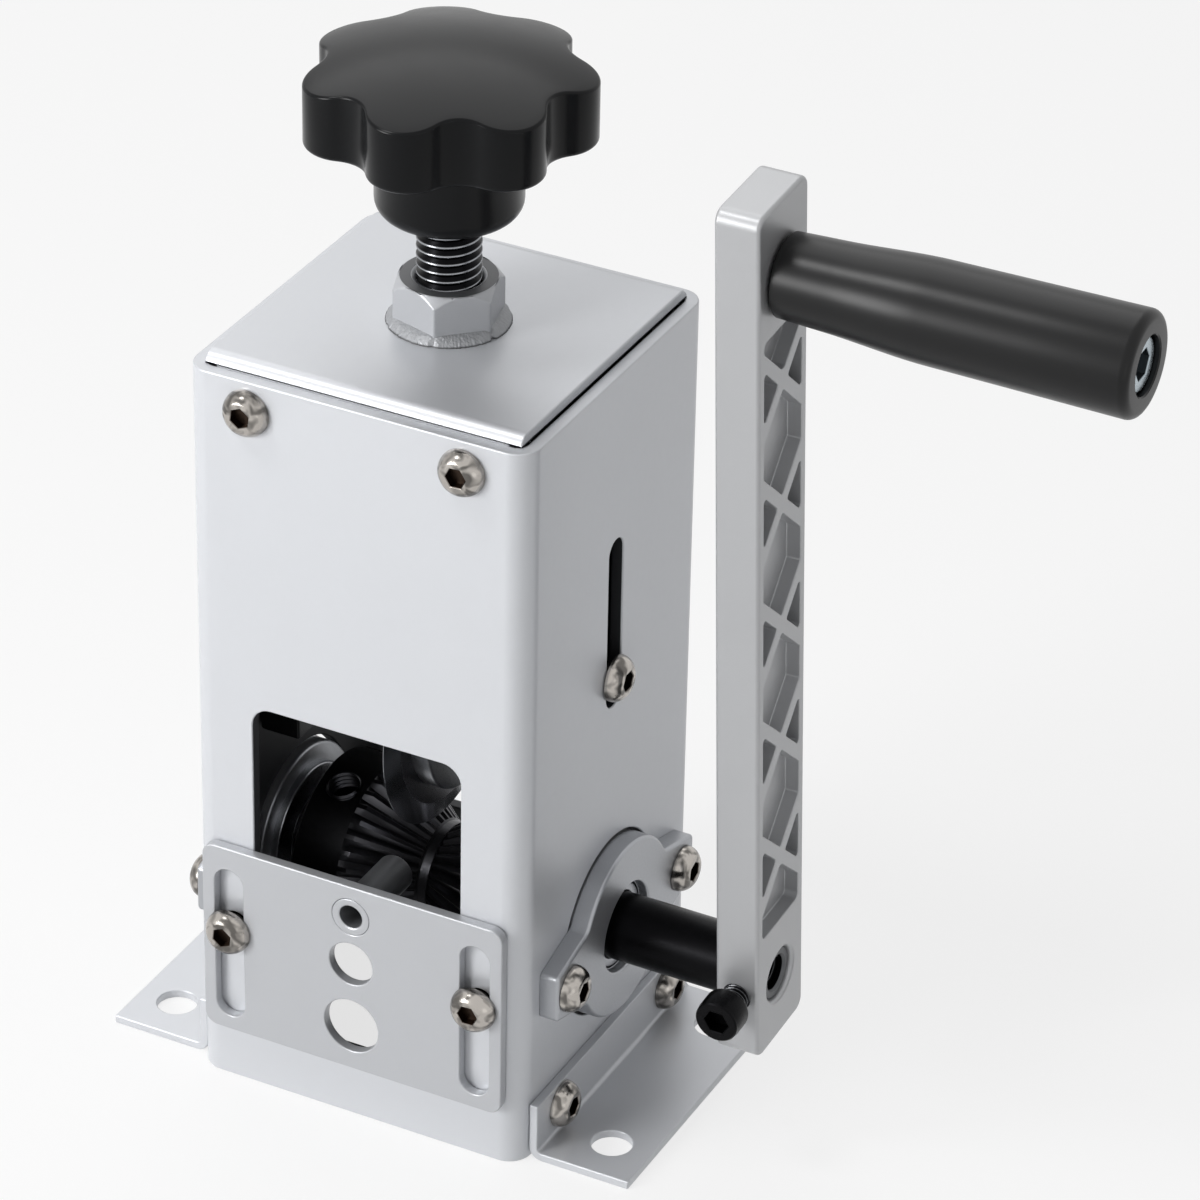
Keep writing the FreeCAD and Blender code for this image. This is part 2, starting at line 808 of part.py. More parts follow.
def lattice_pockets():
    """Cutters for the pockets between the arm's rails and crossed struts."""
    wide = arm_width / 2 - lattice_rail
    low_x = arm_outer_x - lattice_depth
    high_x = arm_outer_x + over
    notch = lattice_strut / math.sqrt(2)
    crosses = [shaft_z + lattice_first + lattice_pitch * k for k in range(lattice_crosses)]
    pockets = []
    for z in crosses:
        for side in (-1, 1):
            triangle = [
                (side * wide, z - wide + notch),
                (side * wide, z + wide - notch),
                (side * notch, z),
            ]
            pockets.append(rounded_slab("x", triangle, pocket_corner, low_x, high_x))
    for low, high in zip(crosses, crosses[1:]):
        diamond = [
            (0, low + notch),
            (wide, low + notch + wide),
            (wide, high - notch - wide),
            (0, high - notch),
            (-wide, high - notch - wide),
            (-wide, low + notch + wide),
        ]
        pockets.append(rounded_slab("x", diamond, pocket_corner, low_x, high_x))
    ends = ((crosses[0], -1, shaft_z + lattice_end), (crosses[-1], 1, crosses[-1] + lattice_top_gap))
    for z, way, stop in ends:
        shoulder = z + way * (notch + wide)
        house = [(0, z + way * notch), (wide, shoulder), (wide, stop), (-wide, stop), (-wide, shoulder)]
        pockets.append(rounded_slab("x", house, 2 * pocket_corner, low_x, high_x))
    return pockets


def crank_arm():
    """Flat arm with rounded edges, a lattice of blind pockets, a shaft bore and a grip hole."""
    low = shaft_z - arm_below_shaft
    high = shaft_z + crank_radius + arm_above_grip
    outline = rectangle(-arm_width / 2, arm_width / 2, low, high)
    arm = rounded_slab("x", outline, arm_corner, arm_inner_x, arm_outer_x)
    arm = arm.makeFillet(arm_edge, [e for e in arm.Edges if e.BoundBox.XLength < tiny])
    bore_d = journal_d + 2 * bearing_fit
    bore = [
        (arm_inner_x - over, 0),
        (arm_inner_x - over, bore_d / 2),
        (arm_outer_x - arm_bore_chamfer, bore_d / 2),
        (arm_outer_x, bore_d / 2 + arm_bore_chamfer),
        (arm_outer_x + over, bore_d / 2 + arm_bore_chamfer),
        (arm_outer_x + over, 0),
    ]
    grip_z = shaft_z + crank_radius
    middle_x = (arm_inner_x + arm_outer_x) / 2
    grip_hole_d = grip_axle_d + 2 * bearing_fit
    screw_hole = screw_d + 2 * screw_play
    cutters = lattice_pockets()
    cutters.append(turned_profile("x", bore, shaft_point))
    cutters.append(rod("x", grip_hole_d, arm_inner_x - over, arm_outer_x + over, 0, grip_z))
    cutters.append(rod("y", screw_hole, -arm_width / 2 - over, 0, middle_x, shaft_z))
    return leaned(arm.cut(cutters))


def clamp_screw():
    """Socket-head cap screw whose tip presses on the shaft's journal."""
    tip = journal_d / 2 + seat_gap
    seat = arm_width / 2 + clamp_standoff
    top = seat + clamp_head_height
    profile = [
        (tip, 0),
        (tip, screw_d / 2 - screw_play),
        (seat, screw_d / 2 - screw_play),
        (seat, clamp_head_d / 2),
        (top - edge_break, clamp_head_d / 2),
        (top, clamp_head_d / 2 - edge_break),
        (top, 0),
    ]
    screw = turned_profile("z", profile, Vector(0, 0, 0))
    screw = screw.cut(hexagon(clamp_socket_af, top - clamp_socket_depth, top + over))
    middle_x = (arm_inner_x + arm_outer_x) / 2
    return leaned(placed(screw, Vector(middle_x, 0, shaft_z), Vector(0, -1, 0)))


def grip_axle():
    """Bolt that the grip turns on, screwed into the arm, with its head sunk in the grip's end."""
    head_x = grip_end_x - grip_recess_depth + axle_head_gap
    top = head_x + axle_head_height
    profile = [
        (arm_inner_x + edge_break, 0),
        (arm_inner_x + edge_break, grip_axle_d / 2),
        (head_x, grip_axle_d / 2),
        (head_x, axle_head_d / 2),
        (top - edge_break, axle_head_d / 2),
        (top, axle_head_d / 2 - edge_break),
        (top, 0),
    ]
    bolt = turned_profile("x", profile, Vector(0, 0, shaft_z + crank_radius))
    socket = hexagon(axle_socket_af, -axle_socket_depth, over)
    at = Vector(top, 0, shaft_z + crank_radius)
    return leaned(bolt.cut(placed(socket, at, Vector(1, 0, 0))))


def grip_sleeve():
    """Revolving grip: a slim neck that swells to a fuller palm, recessed for the bolt's head."""
    x0 = grip_start_x
    x1 = grip_end_x
    swell_start = x0 + grip_swell_start
    swell_end = x0 + grip_swell_end
    bore_r = grip_axle_d / 2 + grip_axle_play
    edge = grip_end_edge
    z = shaft_z + crank_radius

    def at(x, radius):
        return Vector(x, 0, z + radius)

    slant = math.sqrt(0.5)
    swell = Part.BSplineCurve()
    swell.interpolate(
        [at(swell_start, grip_waist_d / 2), at(swell_end, grip_swell_d / 2)],
        InitialTangent=Vector(1, 0, grip_waist_slope),
        FinalTangent=Vector(1, 0, grip_palm_slope),
    )
    end_r = grip_end_d / 2
    recess_r = grip_recess_d / 2
    recess_x = x1 - grip_recess_depth
    edges = [
        Part.makeLine(at(x0, bore_r), at(x0, grip_neck_d / 2 - edge_break)),
        Part.makeLine(at(x0, grip_neck_d / 2 - edge_break), at(x0 + edge_break, grip_neck_d / 2)),
        Part.makeLine(at(x0 + edge_break, grip_neck_d / 2), at(swell_start, grip_waist_d / 2)),
        swell.toShape(),
        Part.makeLine(at(swell_end, grip_swell_d / 2), at(x1 - edge, end_r)),
        Part.Arc(
            at(x1 - edge, end_r),
            at(x1 - edge + edge * slant, end_r - edge + edge * slant),
            at(x1, end_r - edge),
        ).toShape(),
        Part.makeLine(at(x1, end_r - edge), at(x1, recess_r)),
        Part.makeLine(at(x1, recess_r), at(recess_x, recess_r)),
        Part.makeLine(at(recess_x, recess_r), at(recess_x, bore_r)),
        Part.makeLine(at(recess_x, bore_r), at(x0, bore_r)),
    ]
    return leaned(turned("x", edges, Vector(0, 0, z)))


def feed_plate():
    """Sliding front plate with two clamp slots and three holes for the wire."""
    front = -half_depth - feed_gap - feed_thickness
    back = -half_depth - feed_gap
    outline = rectangle(-feed_side_x, feed_side_x, feed_bottom, feed_bottom + feed_height)
    plate = rounded_slab("y", outline, feed_corner, front, back)
    cutters = []
    for x in (-feed_slot_x, feed_slot_x):
        half = feed_slot_width / 2
        slot = rectangle(x - half, x + half, feed_slot_low, feed_slot_high)
        cutters.append(rounded_slab("y", slot, half, front - over, back + over))
    holes = (
        (guide_hole_z, guide_collar_d + 2 * bearing_fit),
        (middle_hole_z, middle_hole_d),
        (lower_hole_z, lower_hole_d),
    )
    for z, diameter in holes:
        cutters.append(rod("y", diameter, front - over, back + over, 0, z))
    return plate.cut(cutters)


def guide_tube():
    """Tube that steers the wire to the blade, with a collar pressed into the feed plate."""
    front = -half_depth - feed_gap - feed_thickness
    back = -half_depth - feed_gap
    collar = rod("y", guide_collar_d, front, back, 0, guide_hole_z)
    tube = rod("y", guide_tube_d, back, front + guide_length, 0, guide_hole_z)
    bore = rod("y", guide_bore_d, front - over, front + guide_length + over, 0, guide_hole_z)
    return collar.fuse(tube).cut(bore).removeSplitter()


def carriage_yoke():
    """Inverted U that carries the blade's axle between two legs and the spindle on its bridge."""
    half = leg_depth / 2
    bottom = axle_z - leg_below_axle
    outline = rectangle(-leg_outer_x, leg_outer_x, bottom, bridge_top)
    yoke = rounded_slab("y", outline, yoke_corner, -half, half)
    throat = rectangle(-leg_inner_x, leg_inner_x, bottom - 2 * yoke_inner_corner, bridge_bottom)
    yoke = yoke.cut(rounded_slab("y", throat, yoke_inner_corner, -half - over, half + over))
    axle_hole_d = axle_d + 2 * bearing_fit
    yoke = yoke.cut(rod("x", axle_hole_d, -leg_outer_x - over, leg_outer_x + over, 0, axle_z))
    spindle_hole_d = spindle_journal_d + 2 * spindle_play
    yoke = yoke.cut(rod("z", spindle_hole_d, bridge_bottom - over, bridge_top + over))
    for side in (-1, 1):
        ends = sorted((side * (leg_inner_x - over), side * (leg_outer_x + over)))
        yoke = yoke.cut(rod("x", screw_d + 2 * screw_play, ends[0], ends[1], 0, guide_z))
    return yoke


def cutter_blade():
    """Round blade, bevelled on both faces to its edge."""
    half = blade_thickness / 2
    edge = blade_edge / 2
    bore_r = hub_spigot_d / 2 + hub_fit
    profile = [
        (-half, bore_r),
        (-half, blade_radius - blade_bevel),
        (-edge, blade_radius),
        (edge, blade_radius),
        (half, blade_radius - blade_bevel),
        (half, bore_r),
    ]
    return turned_profile("x", profile, Vector(0, 0, axle_z))


def blade_hub():
    """Flanged hub: the flange backs the blade and the spigot passes through it."""
    half = blade_thickness / 2
    flange_end = half + hub_thickness
    spigot_end = -half - hub_ring_thickness
    bore_r = axle_d / 2 + bush_wall
    profile = [
        (spigot_end, bore_r),
        (spigot_end, hub_spigot_d / 2),
        (half, hub_spigot_d / 2),
        (half, hub_d / 2),
        (flange_end - edge_break, hub_d / 2),
        (flange_end, hub_d / 2 - edge_break),
        (flange_end, bore_r),
    ]
    return turned_profile("x", profile, Vector(0, 0, axle_z))


def blade_clamp_ring():
    half = blade_thickness / 2
    bore = hub_spigot_d + 2 * hub_fit
    return sleeve("x", hub_ring_d, bore, -half - hub_ring_thickness, -half, 0, axle_z)


def hub_bush():
    """Bronze bush pressed into the hub, running on the axle."""
    half = blade_thickness / 2
    outer = axle_d + 2 * bush_wall - 2 * bearing_fit
    inner = axle_d + 2 * axle_play
    return sleeve("x", outer, inner, -half - hub_ring_thickness, half + hub_thickness, 0, axle_z)


def axle_spacers():
    """Two tubes that keep the hub in the middle of the axle."""
    half = blade_thickness / 2
    outer = axle_d + 2 * bearing_fit + 2 * spacer_wall
    inner = axle_d + 2 * bearing_fit
    right = sleeve("x", outer, inner, half + hub_thickness + hub_side_gap, leg_inner_x, 0, axle_z)
    left = sleeve("x", outer, inner, -leg_inner_x, -half - hub_ring_thickness - hub_side_gap, 0, axle_z)
    return [left, right]


def threaded_spindle():
    """Spindle with a plain journal and clip groove at its foot."""
    foot = bridge_bottom - spindle_end
    clip_high = bridge_bottom - clip_gap
    clip_low = clip_high - clip_thickness
    journal_r = spindle_journal_d / 2
    profile = [
        (foot, 0),
        (foot, journal_r - edge_break),
        (foot + edge_break, journal_r),
        (clip_low, journal_r),
        (clip_low, journal_r - clip_groove),
        (clip_high, journal_r - clip_groove),
        (clip_high, journal_r),
        (shoulder_z, journal_r),
        (shoulder_z, spindle_d / 2),
        (hub_bottom + spindle_into_knob, spindle_d / 2),
        (hub_bottom + spindle_into_knob, 0),
    ]
    return turned_profile("z", profile, Vector(0, 0, 0))


def spindle_clip():
    """Clip that lifts the carriage when the spindle is backed off."""
    high = bridge_bottom - clip_gap
    low = high - clip_thickness
    inner = spindle_journal_d - 2 * clip_groove
    ring = sleeve("z", clip_d, inner, low, high)
    return ring.cut(box(-clip_mouth / 2, clip_mouth / 2, inner / 2 - over, clip_d, low - over, high + over))


def thrust_washer():
    bore = spindle_journal_d + 2 * spindle_play
    return sleeve("z", washer_d, bore, bridge_top, bridge_top + washer_thickness)


def knob_outline(z):
    """Star outline: round lobes joined by hollows, each arc tangent to the next."""
    step = math.pi / knob_lobes
    lobe_at = knob_d / 2 - knob_lobe_radius
    valley_r = knob_valley_d / 2
    # The hollow's radius makes its circle touch the two lobes beside it.
    a = lobe_at
    c = math.cos(step)
    hollow = (a * a + valley_r * valley_r - 2 * a * valley_r * c - knob_lobe_radius ** 2) / (
        2 * (knob_lobe_radius - valley_r + a * c)
    )
    hollow_at = valley_r + hollow
    edges = []
    for k in range(knob_lobes):
        turn = math.radians(knob_lobe_turn) + 2 * step * k

        def polar(radius, angle):
            return Vector(radius * math.cos(turn + angle), radius * math.sin(turn + angle), z)

        lobe = polar(lobe_at, 0)
        right = polar(hollow_at, -step)
        left = polar(hollow_at, step)
        start = lobe + (right - lobe).normalize() * knob_lobe_radius
        end = lobe + (left - lobe).normalize() * knob_lobe_radius
        next_lobe = polar(lobe_at, 2 * step)
        next_start = next_lobe + (left - next_lobe).normalize() * knob_lobe_radius
        edges.append(Part.Arc(start, polar(knob_d / 2, 0), end).toShape())
        edges.append(Part.Arc(end, polar(valley_r, step), next_start).toShape())
    return Part.Wire(Part.__sortEdges__(edges))


def knob_head():
    """Moulded star knob with a crowned top, on a round hub that holds the spindle."""
    crown_top = star_rim + knob_crown
    rim_r = knob_d / 2
    crown_r = (rim_r ** 2 + knob_crown ** 2) / (2 * knob_crown)
    star = Part.Face(knob_outline(star_bottom)).extrude(Vector(0, 0, crown_top + over - star_bottom))
    star = star.common(Part.makeSphere(crown_r, Vector(0, 0, crown_top - crown_r)))
    low_edges = [e for e in star.Edges if e.BoundBox.ZMax < star_bottom + tiny]
    star = star.makeFillet(knob_edge, low_edges)
    high_edges = [e for e in star.Edges if e.BoundBox.ZMin > star_rim - over]
    star = star.makeFillet(knob_edge, high_edges)
    hub_r = knob_hub_d / 2
    rounding = knob_hub_round
    slant = math.sqrt(0.5)
    hub = [
        Part.makeLine(Vector(0, 0, hub_bottom), Vector(hub_r - rounding, 0, hub_bottom)),
        Part.Arc(
            Vector(hub_r - rounding, 0, hub_bottom),
            Vector(hub_r - rounding + rounding * slant, 0, hub_bottom + rounding - rounding * slant),
            Vector(hub_r, 0, hub_bottom + rounding),
        ).toShape(),
        Part.makeLine(Vector(hub_r, 0, hub_bottom + rounding), Vector(hub_r, 0, star_bottom + over)),
        Part.makeLine(Vector(hub_r, 0, star_bottom + over), Vector(0, 0, star_bottom + over)),
        Part.makeLine(Vector(0, 0, star_bottom + over), Vector(0, 0, hub_bottom)),
    ]
    knob = star.fuse(turned("z", hub, Vector(0, 0, 0))).removeSplitter()
    hole_top = hub_bottom + spindle_into_knob
    return knob.cut(rod("z", spindle_d + 2 * bearing_fit, hub_bottom - over, hole_top))


def screws_on_walls():
    """Every M6 button-head screw and nut that goes through a housing wall, by node name."""
    left_right = (Vector(-1, 0, 0), Vector(1, 0, 0))
    front_back = (Vector(0, -1, 0), Vector(0, 1, 0))
    groups = {}

    def add(name, spots, outward, head_at, nut_at, past_nut=screw_end, nut_turn=0.0):
        """A screw at each spot on one wall, its head and nut at distances from the middle."""
        screw = button_screw(head_at - nut_at + nut_height + past_nut)
        nut = hex_nut(nut_turn)
        for spot in spots:
            at_head = placed(screw, spot + outward * head_at, outward)
            groups.setdefault(name + "_screws", []).append(at_head)
            at_nut = placed(nut, spot + outward * nut_at, outward)
            groups.setdefault(name + "_nuts", []).append(at_nut)

    top_z = tube_height - top_screw_below_rim
    top_spots = [Vector(side * top_screw_x, 0, top_z) for side in (-1, 1)]
    for outward in front_back:
        add("top_plate", top_spots, outward, half_depth, inner_y - plate_thickness)
    flange_spots = [Vector(0, side * flange_screw_y, shaft_z) for side in (-1, 1)]
    bracket_spots = [Vector(0, side * bracket_screw_spread / 2, bracket_screw_z) for side in (-1, 1)]
    for outward in left_right:
        add("bearing_housing", flange_spots, outward, flange_face, inner_x, nut_turn=flange_nut_turn)
        add("bracket", bracket_spots, outward, half_width + bracket_thickness, inner_x)
    feed_spots = [Vector(side * feed_slot_x, 0, feed_screw_z) for side in (-1, 1)]
    feed_head_at = half_depth + 2 * feed_gap + feed_thickness
    add("feed_plate", feed_spots, front_back[0], feed_head_at, inner_y, past_nut=feed_screw_end)
    return groups


def guide_screws():
    """Screws through the side slots into the carriage's legs."""
    grip = half_width + guide_head_gap - leg_inner_x - guide_screw_short
    screw = button_screw(grip)
    seats = half_width + guide_head_gap
    return [placed(screw, Vector(side * seats, 0, guide_z), Vector(side, 0, 0)) for side in (-1, 1)]


def both_sides(shape):
    return [mirrored(shape), shape]


export("housing_tube", [housing_tube()])
export("top_plate", [top_plate()])
export("spindle_nut", [spindle_nut()])
export("nut_weld", [nut_weld()])
right_bracket = foot_bracket()
export("foot_bracket_right", [right_bracket])
export("foot_bracket_left", [mirrored(right_bracket)])
right_bearing_housing = bearing_housing()
export("bearing_housing_right", [right_bearing_housing])
export("bearing_housing_left", [mirrored(right_bearing_housing)])
export("bearing_outer_rings", both_sides(bearing_outer_ring()))
for group_name, group_solids in screws_on_walls().items():
    export(group_name, group_solids)
export("feed_plate", [feed_plate()])
export("guide_tube", [guide_tube()])
export("carriage_yoke", [carriage_yoke()])
export("guide_screws", guide_screws())
axle_end_x = leg_outer_x - axle_inset
export("cutter_axle", [rod("x", axle_d, -axle_end_x, axle_end_x, 0, axle_z)])
export("axle_spacers", axle_spacers())
export("thrust_washer", [thrust_washer()])
export("cutter_blade", [cutter_blade()])
export("blade_hub", [blade_hub()])
export("blade_clamp_ring", [blade_clamp_ring()])
export("hub_bush", [hub_bush()])
export("threaded_spindle", [threaded_spindle()])
export("spindle_clip", [spindle_clip()])
export("knob_head", [knob_head()])
export("drive_shaft", [drive_shaft()])
export("shaft_circlips", both_sides(shaft_circlip()))
export("bearing_inner_rings", both_sides(bearing_inner_ring()))
export("feed_roller_left", [feed_roller_left()])
export("feed_roller_right", [feed_roller_right()])
export("roller_set_screws", [roller_set_screw(angle) for angle in roller_screw_angles])
export("crank_arm", [crank_arm()])
export("clamp_screw", [clamp_screw()])
export("grip_axle", [grip_axle()])
export("grip_sleeve", [grip_sleeve()])
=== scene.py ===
import json
import math

import bmesh
import bpy
from mathutils import Matrix, Vector, noise


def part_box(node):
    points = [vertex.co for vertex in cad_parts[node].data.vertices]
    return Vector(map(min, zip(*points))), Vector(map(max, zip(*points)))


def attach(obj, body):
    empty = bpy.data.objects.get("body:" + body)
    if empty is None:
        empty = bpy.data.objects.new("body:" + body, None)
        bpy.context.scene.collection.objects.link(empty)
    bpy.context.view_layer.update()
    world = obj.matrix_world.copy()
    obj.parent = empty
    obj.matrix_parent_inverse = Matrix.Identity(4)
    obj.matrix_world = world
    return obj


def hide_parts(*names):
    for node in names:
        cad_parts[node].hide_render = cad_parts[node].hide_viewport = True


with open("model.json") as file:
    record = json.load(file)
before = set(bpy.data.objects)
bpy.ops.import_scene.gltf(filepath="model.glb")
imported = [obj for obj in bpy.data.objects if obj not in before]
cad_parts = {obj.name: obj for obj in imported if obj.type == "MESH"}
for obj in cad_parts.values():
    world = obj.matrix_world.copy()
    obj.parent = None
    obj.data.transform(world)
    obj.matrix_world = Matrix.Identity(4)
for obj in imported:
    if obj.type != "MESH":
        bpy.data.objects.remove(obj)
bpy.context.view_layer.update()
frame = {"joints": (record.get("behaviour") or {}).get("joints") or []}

bl_info = {
    "name": "Bench Wire Stripping Machine",
    "version": (1, 0, 0),
    "blender": (4, 5, 0),
    "location": "View3D > Sidebar > Wire Stripper",
    "description": "Builds a hand-cranked bench wire stripping machine, dressed over its packed solids",
    "category": "Add Mesh",
}

# Shapes are worked out in millimetres and written to meshes in metres.
MM = 0.001

# Axes of the turning pieces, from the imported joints
places = {joint["name"]: Vector(joint["pos_m"]) / MM for joint in frame["joints"] if joint.get("pos_m")}
shaft_z = places["crank_spin"].z
axle_z = places["cutter_spin"].z
crank_reach = places["grip_spin"] - places["crank_spin"]
crank_radius = math.hypot(crank_reach.y, crank_reach.z)
crank_lean = math.atan2(-crank_reach.y, crank_reach.z)

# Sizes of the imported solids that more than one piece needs, in millimetres
tube_wall, tube_corner_r = 3, 5.4
screw_hole_r = 3.3
button_height = 3.3
# Radius, floor and lip of the part of a button head that counts as its socket
button_socket = (2.34, 1.0, 3.2)
top_screw_x, top_screw_z = 25, 168
bearing_screw_y = 26.2
bracket_screw_y, bracket_screw_z = 25, 8.3
feed_screw_x = 30
guide_hole_z = 53.3
shaft_r = 7.5
star_tip = 30.6
tapped_pitch = 1.25


def span(node, axis):
    """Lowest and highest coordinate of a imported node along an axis, in millimetres."""
    low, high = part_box(node)
    index = "xyz".index(axis)
    return low[index] / MM, high[index] / MM


guide_screw_z = sum(span("guide_screws", "z")) / 2


def linear(code):
    """Linear colour of an sRGB hex value."""
    channels = [int(code[i:i + 2], 16) / 255 for i in (1, 3, 5)]
    return [c / 12.92 if c <= 0.04045 else ((c + 0.055) / 1.055) ** 2.4 for c in channels]


def length_setting(name, description, millimetres):
    return bpy.props.FloatProperty(name=name, description=description, default=millimetres * MM, min=0.0,
                                   precision=5, subtype="DISTANCE", unit="LENGTH")


def colour_setting(name, description, code):
    return bpy.props.FloatVectorProperty(name=name, description=description, default=linear(code), size=3,
                                         min=0.0, max=1.0, subtype="COLOR")


class StripperSizes(bpy.types.PropertyGroup):
    """Small sizes that only the dressed pieces show."""
    steel_edge: length_setting("Steel edge", "Rounding on the cut edges of the painted steel", 0.35)
    spindle_pitch: length_setting("Spindle pitch", "Rise of the spindle's thread in one turn", 2.0)
    spindle_thread: length_setting("Spindle thread depth", "Depth of the spindle's thread", 1.15)
    screw_pitch: length_setting("Screw pitch", "Rise of the small screws' thread in one turn", 1.0)
    weld_lump: length_setting("Weld lump", "Width of the lumps on the weld bead", 0.7)
    knob_edge: length_setting("Knob edge", "Rounding on the star knob's rims", 0.55)
    arm_edge: length_setting("Arm edge", "Rounding round the crank arm's faces", 0.9)
    pocket_edge: length_setting("Pocket edge", "Rounding on the rims of the crank arm's pockets", 0.28)


class StripperColours(bpy.types.PropertyGroup):
    """Colours of the machine's finishes."""
    lacquer: colour_setting("Silver lacquer", "Sprayed lacquer on housing and sheet pieces", "#cdcfd3")
    flange: colour_setting("Zinc flange", "Satin zinc plate on the bearing housings", "#a9abaf")
    stainless: colour_setting("Stainless steel", "Polished screws and nuts", "#b3aea8")
    black_oxide: colour_setting("Black oxide", "Blackened spindle, shaft and socket screws", "#0c0c0e")
    ground_steel: colour_setting("Ground steel", "Bare ground and turned steel", "#a2a4a8")
    tool_steel: colour_setting("Tool steel", "Hardened blade and feed roller", "#5c5c60")
    aluminium: colour_setting("Blasted aluminium", "Crank arm", "#b2b3b5")
    anodised: colour_setting("Black anodising", "Carriage yoke", "#1a1b1d")
    # Near black: mill scale darkened to stand for the shade inside the housing (painted shade)
    mill_scale: colour_setting("Mill scale", "Bare inside of the housing", "#2a2b2e")
    bronze: colour_setting("Sintered bronze", "Hub bush and thrust washer", "#a98153")
    knob: colour_setting("Knob plastic", "Moulded star knob", "#07080a")
    grip: colour_setting("Grip plastic", "Moulded revolving grip", "#0b0b0c")
    zinc: colour_setting("Blue-white zinc", "Plated axle bolt", "#b4bfc6")
    floor: colour_setting("Floor", "Pale studio floor", "#f4f4f4")


def setting(name):
    """A size from the panel, in millimetres."""
    return getattr(bpy.context.scene.stripper_sizes, name) / MM


def shade(colour, factor):
    return tuple(min(1.0, c * factor) for c in colour[:3]) + (1.0,)


def colour_of(name, factor=1.0):
    """A colour from the panel, made darker by a factor."""
    return shade(getattr(bpy.context.scene.stripper_colours, name), factor)


# Shapes: a shape is a list of points in millimetres and a list of faces between them.


def spot(axis, along, a, b):
    """A point at a distance along an axis, with its other two coordinates in X, Y, Z order."""
    if axis == "x":
        return Vector((along, a, b))
    if axis == "y":
        return Vector((a, along, b))
    return Vector((a, b, along))


def join(*shapes):
    points = []
    faces = []
    for more_points, more_faces in shapes:
        base = len(points)
        points.extend(more_points)
        faces.extend([[base + i for i in face] for face in more_faces])
    return points, faces


def moved(shape, matrix):
    return [matrix @ point for point in shape[0]], shape[1]


def copies(shape, placements):
    return join(*[moved(shape, matrix) for matrix in placements])


def facing(at, outward):
    """A placement that turns a shape made along Z to point outward from a place."""
    return Matrix.Translation(at) @ Vector(outward).to_track_quat("Z", "Y").to_matrix().to_4x4()


def along_x(height):
    """A placement for shapes whose heights are X coordinates and whose axis lies at a height."""
    return facing(Vector((0, 0, height)), (1, 0, 0))


def crank_turn():
    """The crank's lean about the shaft at rest."""
    centre = Vector((0, 0, shaft_z))
    return Matrix.Translation(centre) @ Matrix.Rotation(crank_lean, 4, "X") @ Matrix.Translation(-centre)


MIRROR_X = Matrix.Diagonal((-1, 1, 1, 1))
SIDES = (("right", Matrix()), ("left", MIRROR_X))


def both_ways(distance):
    return -distance, distance


def on_side(side, near, far):
    """A range on one side of zero, in rising order."""
    return sorted((side * near, side * far))


def quarter_turn(steps):
    """Angles from 0 to a quarter turn."""
    return [math.pi / 2 * k / steps for k in range(steps + 1)]


def stack(rings, wrap=False):
    """Faces between rings of points; a ring of one point is a tip."""
    points = []
    starts = []
    for ring in rings:
        starts.append(len(points))
        points.extend(ring)
    faces = []
    pairs = [(k, k + 1) for k in range(len(rings) - 1)]
    if wrap:
        pairs.append((len(rings) - 1, 0))
    for a, b in pairs:
        count_a = len(rings[a])
        count_b = len(rings[b])
        count = max(count_a, count_b)
        for i in range(count):
            j = (i + 1) % count
            face = [starts[a] + i % count_a, starts[a] + j % count_a,
                    starts[b] + j % count_b, starts[b] + i % count_b]
            faces.append(list(dict.fromkeys(face)))
    return points, faces


def lathe(rows, steps=96, wrap=False):
    """Rings about Z from rows of height and radius; either may be a list with a value for each step."""
    rings = []
    for height, radius in rows:
        heights = height if isinstance(height, list) else [height] * steps
        radii = radius if isinstance(radius, list) else [radius] * steps
        if max(radii) == 0:
            rings.append([Vector((0, 0, heights[0]))])
            continue
        ring = []
        for i in range(steps):
            angle = 2 * math.pi * i / steps
            ring.append(Vector((radii[i] * math.cos(angle), radii[i] * math.sin(angle), heights[i])))
        rings.append(ring)
    return stack(rings, wrap)


def swept(centre, start, sweep, steps):
    """Points of an arc about a centre, from a start that is given from the centre."""
    path = []
    for k in range(steps + 1):
        arm = start.copy()
        arm.rotate(Matrix.Rotation(-sweep * k / steps, 2))
        path.append(tuple(centre + arm))
    return path


def rounded(corners, steps=5, closed=True):
    """Points of a path through corners; a corner given with a radius becomes an arc."""
    path = []
    count = len(corners)
    for i, corner in enumerate(corners):
        here = Vector(corner[:2])
        ends = not closed and i in (0, count - 1)
        if len(corner) == 2 or corner[2] == 0 or ends:
            path.append(tuple(here))
            continue
        radius = corner[2]
        back = (Vector(corners[i - 1][:2]) - here).normalized()
        ahead = (Vector(corners[(i + 1) % count][:2]) - here).normalized()
        half = back.angle(ahead) / 2
        run = radius / math.tan(half)
        centre = here + (back + ahead).normalized() * radius / math.sin(half)
        start = here + back * run - centre
        end = here + ahead * run - centre
        path += swept(centre, start, start.angle_signed(end), steps)
    return path


def box_outline(a0, a1, b0, b1, *radius):
    return [(a0, b0, *radius), (a1, b0, *radius), (a1, b1, *radius), (a0, b1, *radius)]


def circle(radius, a=0.0, b=0.0, steps=64, start=0.0, sweep=360.0):
    """Points of a circle or of an arc of it."""
    count = steps if sweep == 360.0 else steps + 1
    turns = [math.radians(start + sweep * k / steps) for k in range(count)]
    return [(a + radius * math.cos(turn), b + radius * math.sin(turn)) for turn in turns]


def layered(levels, axis):
    """A closed piece through outlines at levels along an axis."""
    points, faces = stack([[spot(axis, level, a, b) for a, b in outline] for level, outline in levels])
    count = len(levels[0][1])
    faces.append(list(range(count))[::-1])
    faces.append(list(range(len(points) - count, len(points))))
    return points, faces


def slab(outline, low, high, axis="z"):
    """A flat piece across an axis with square edges."""
    return layered([(low, outline), (high, outline)], axis)


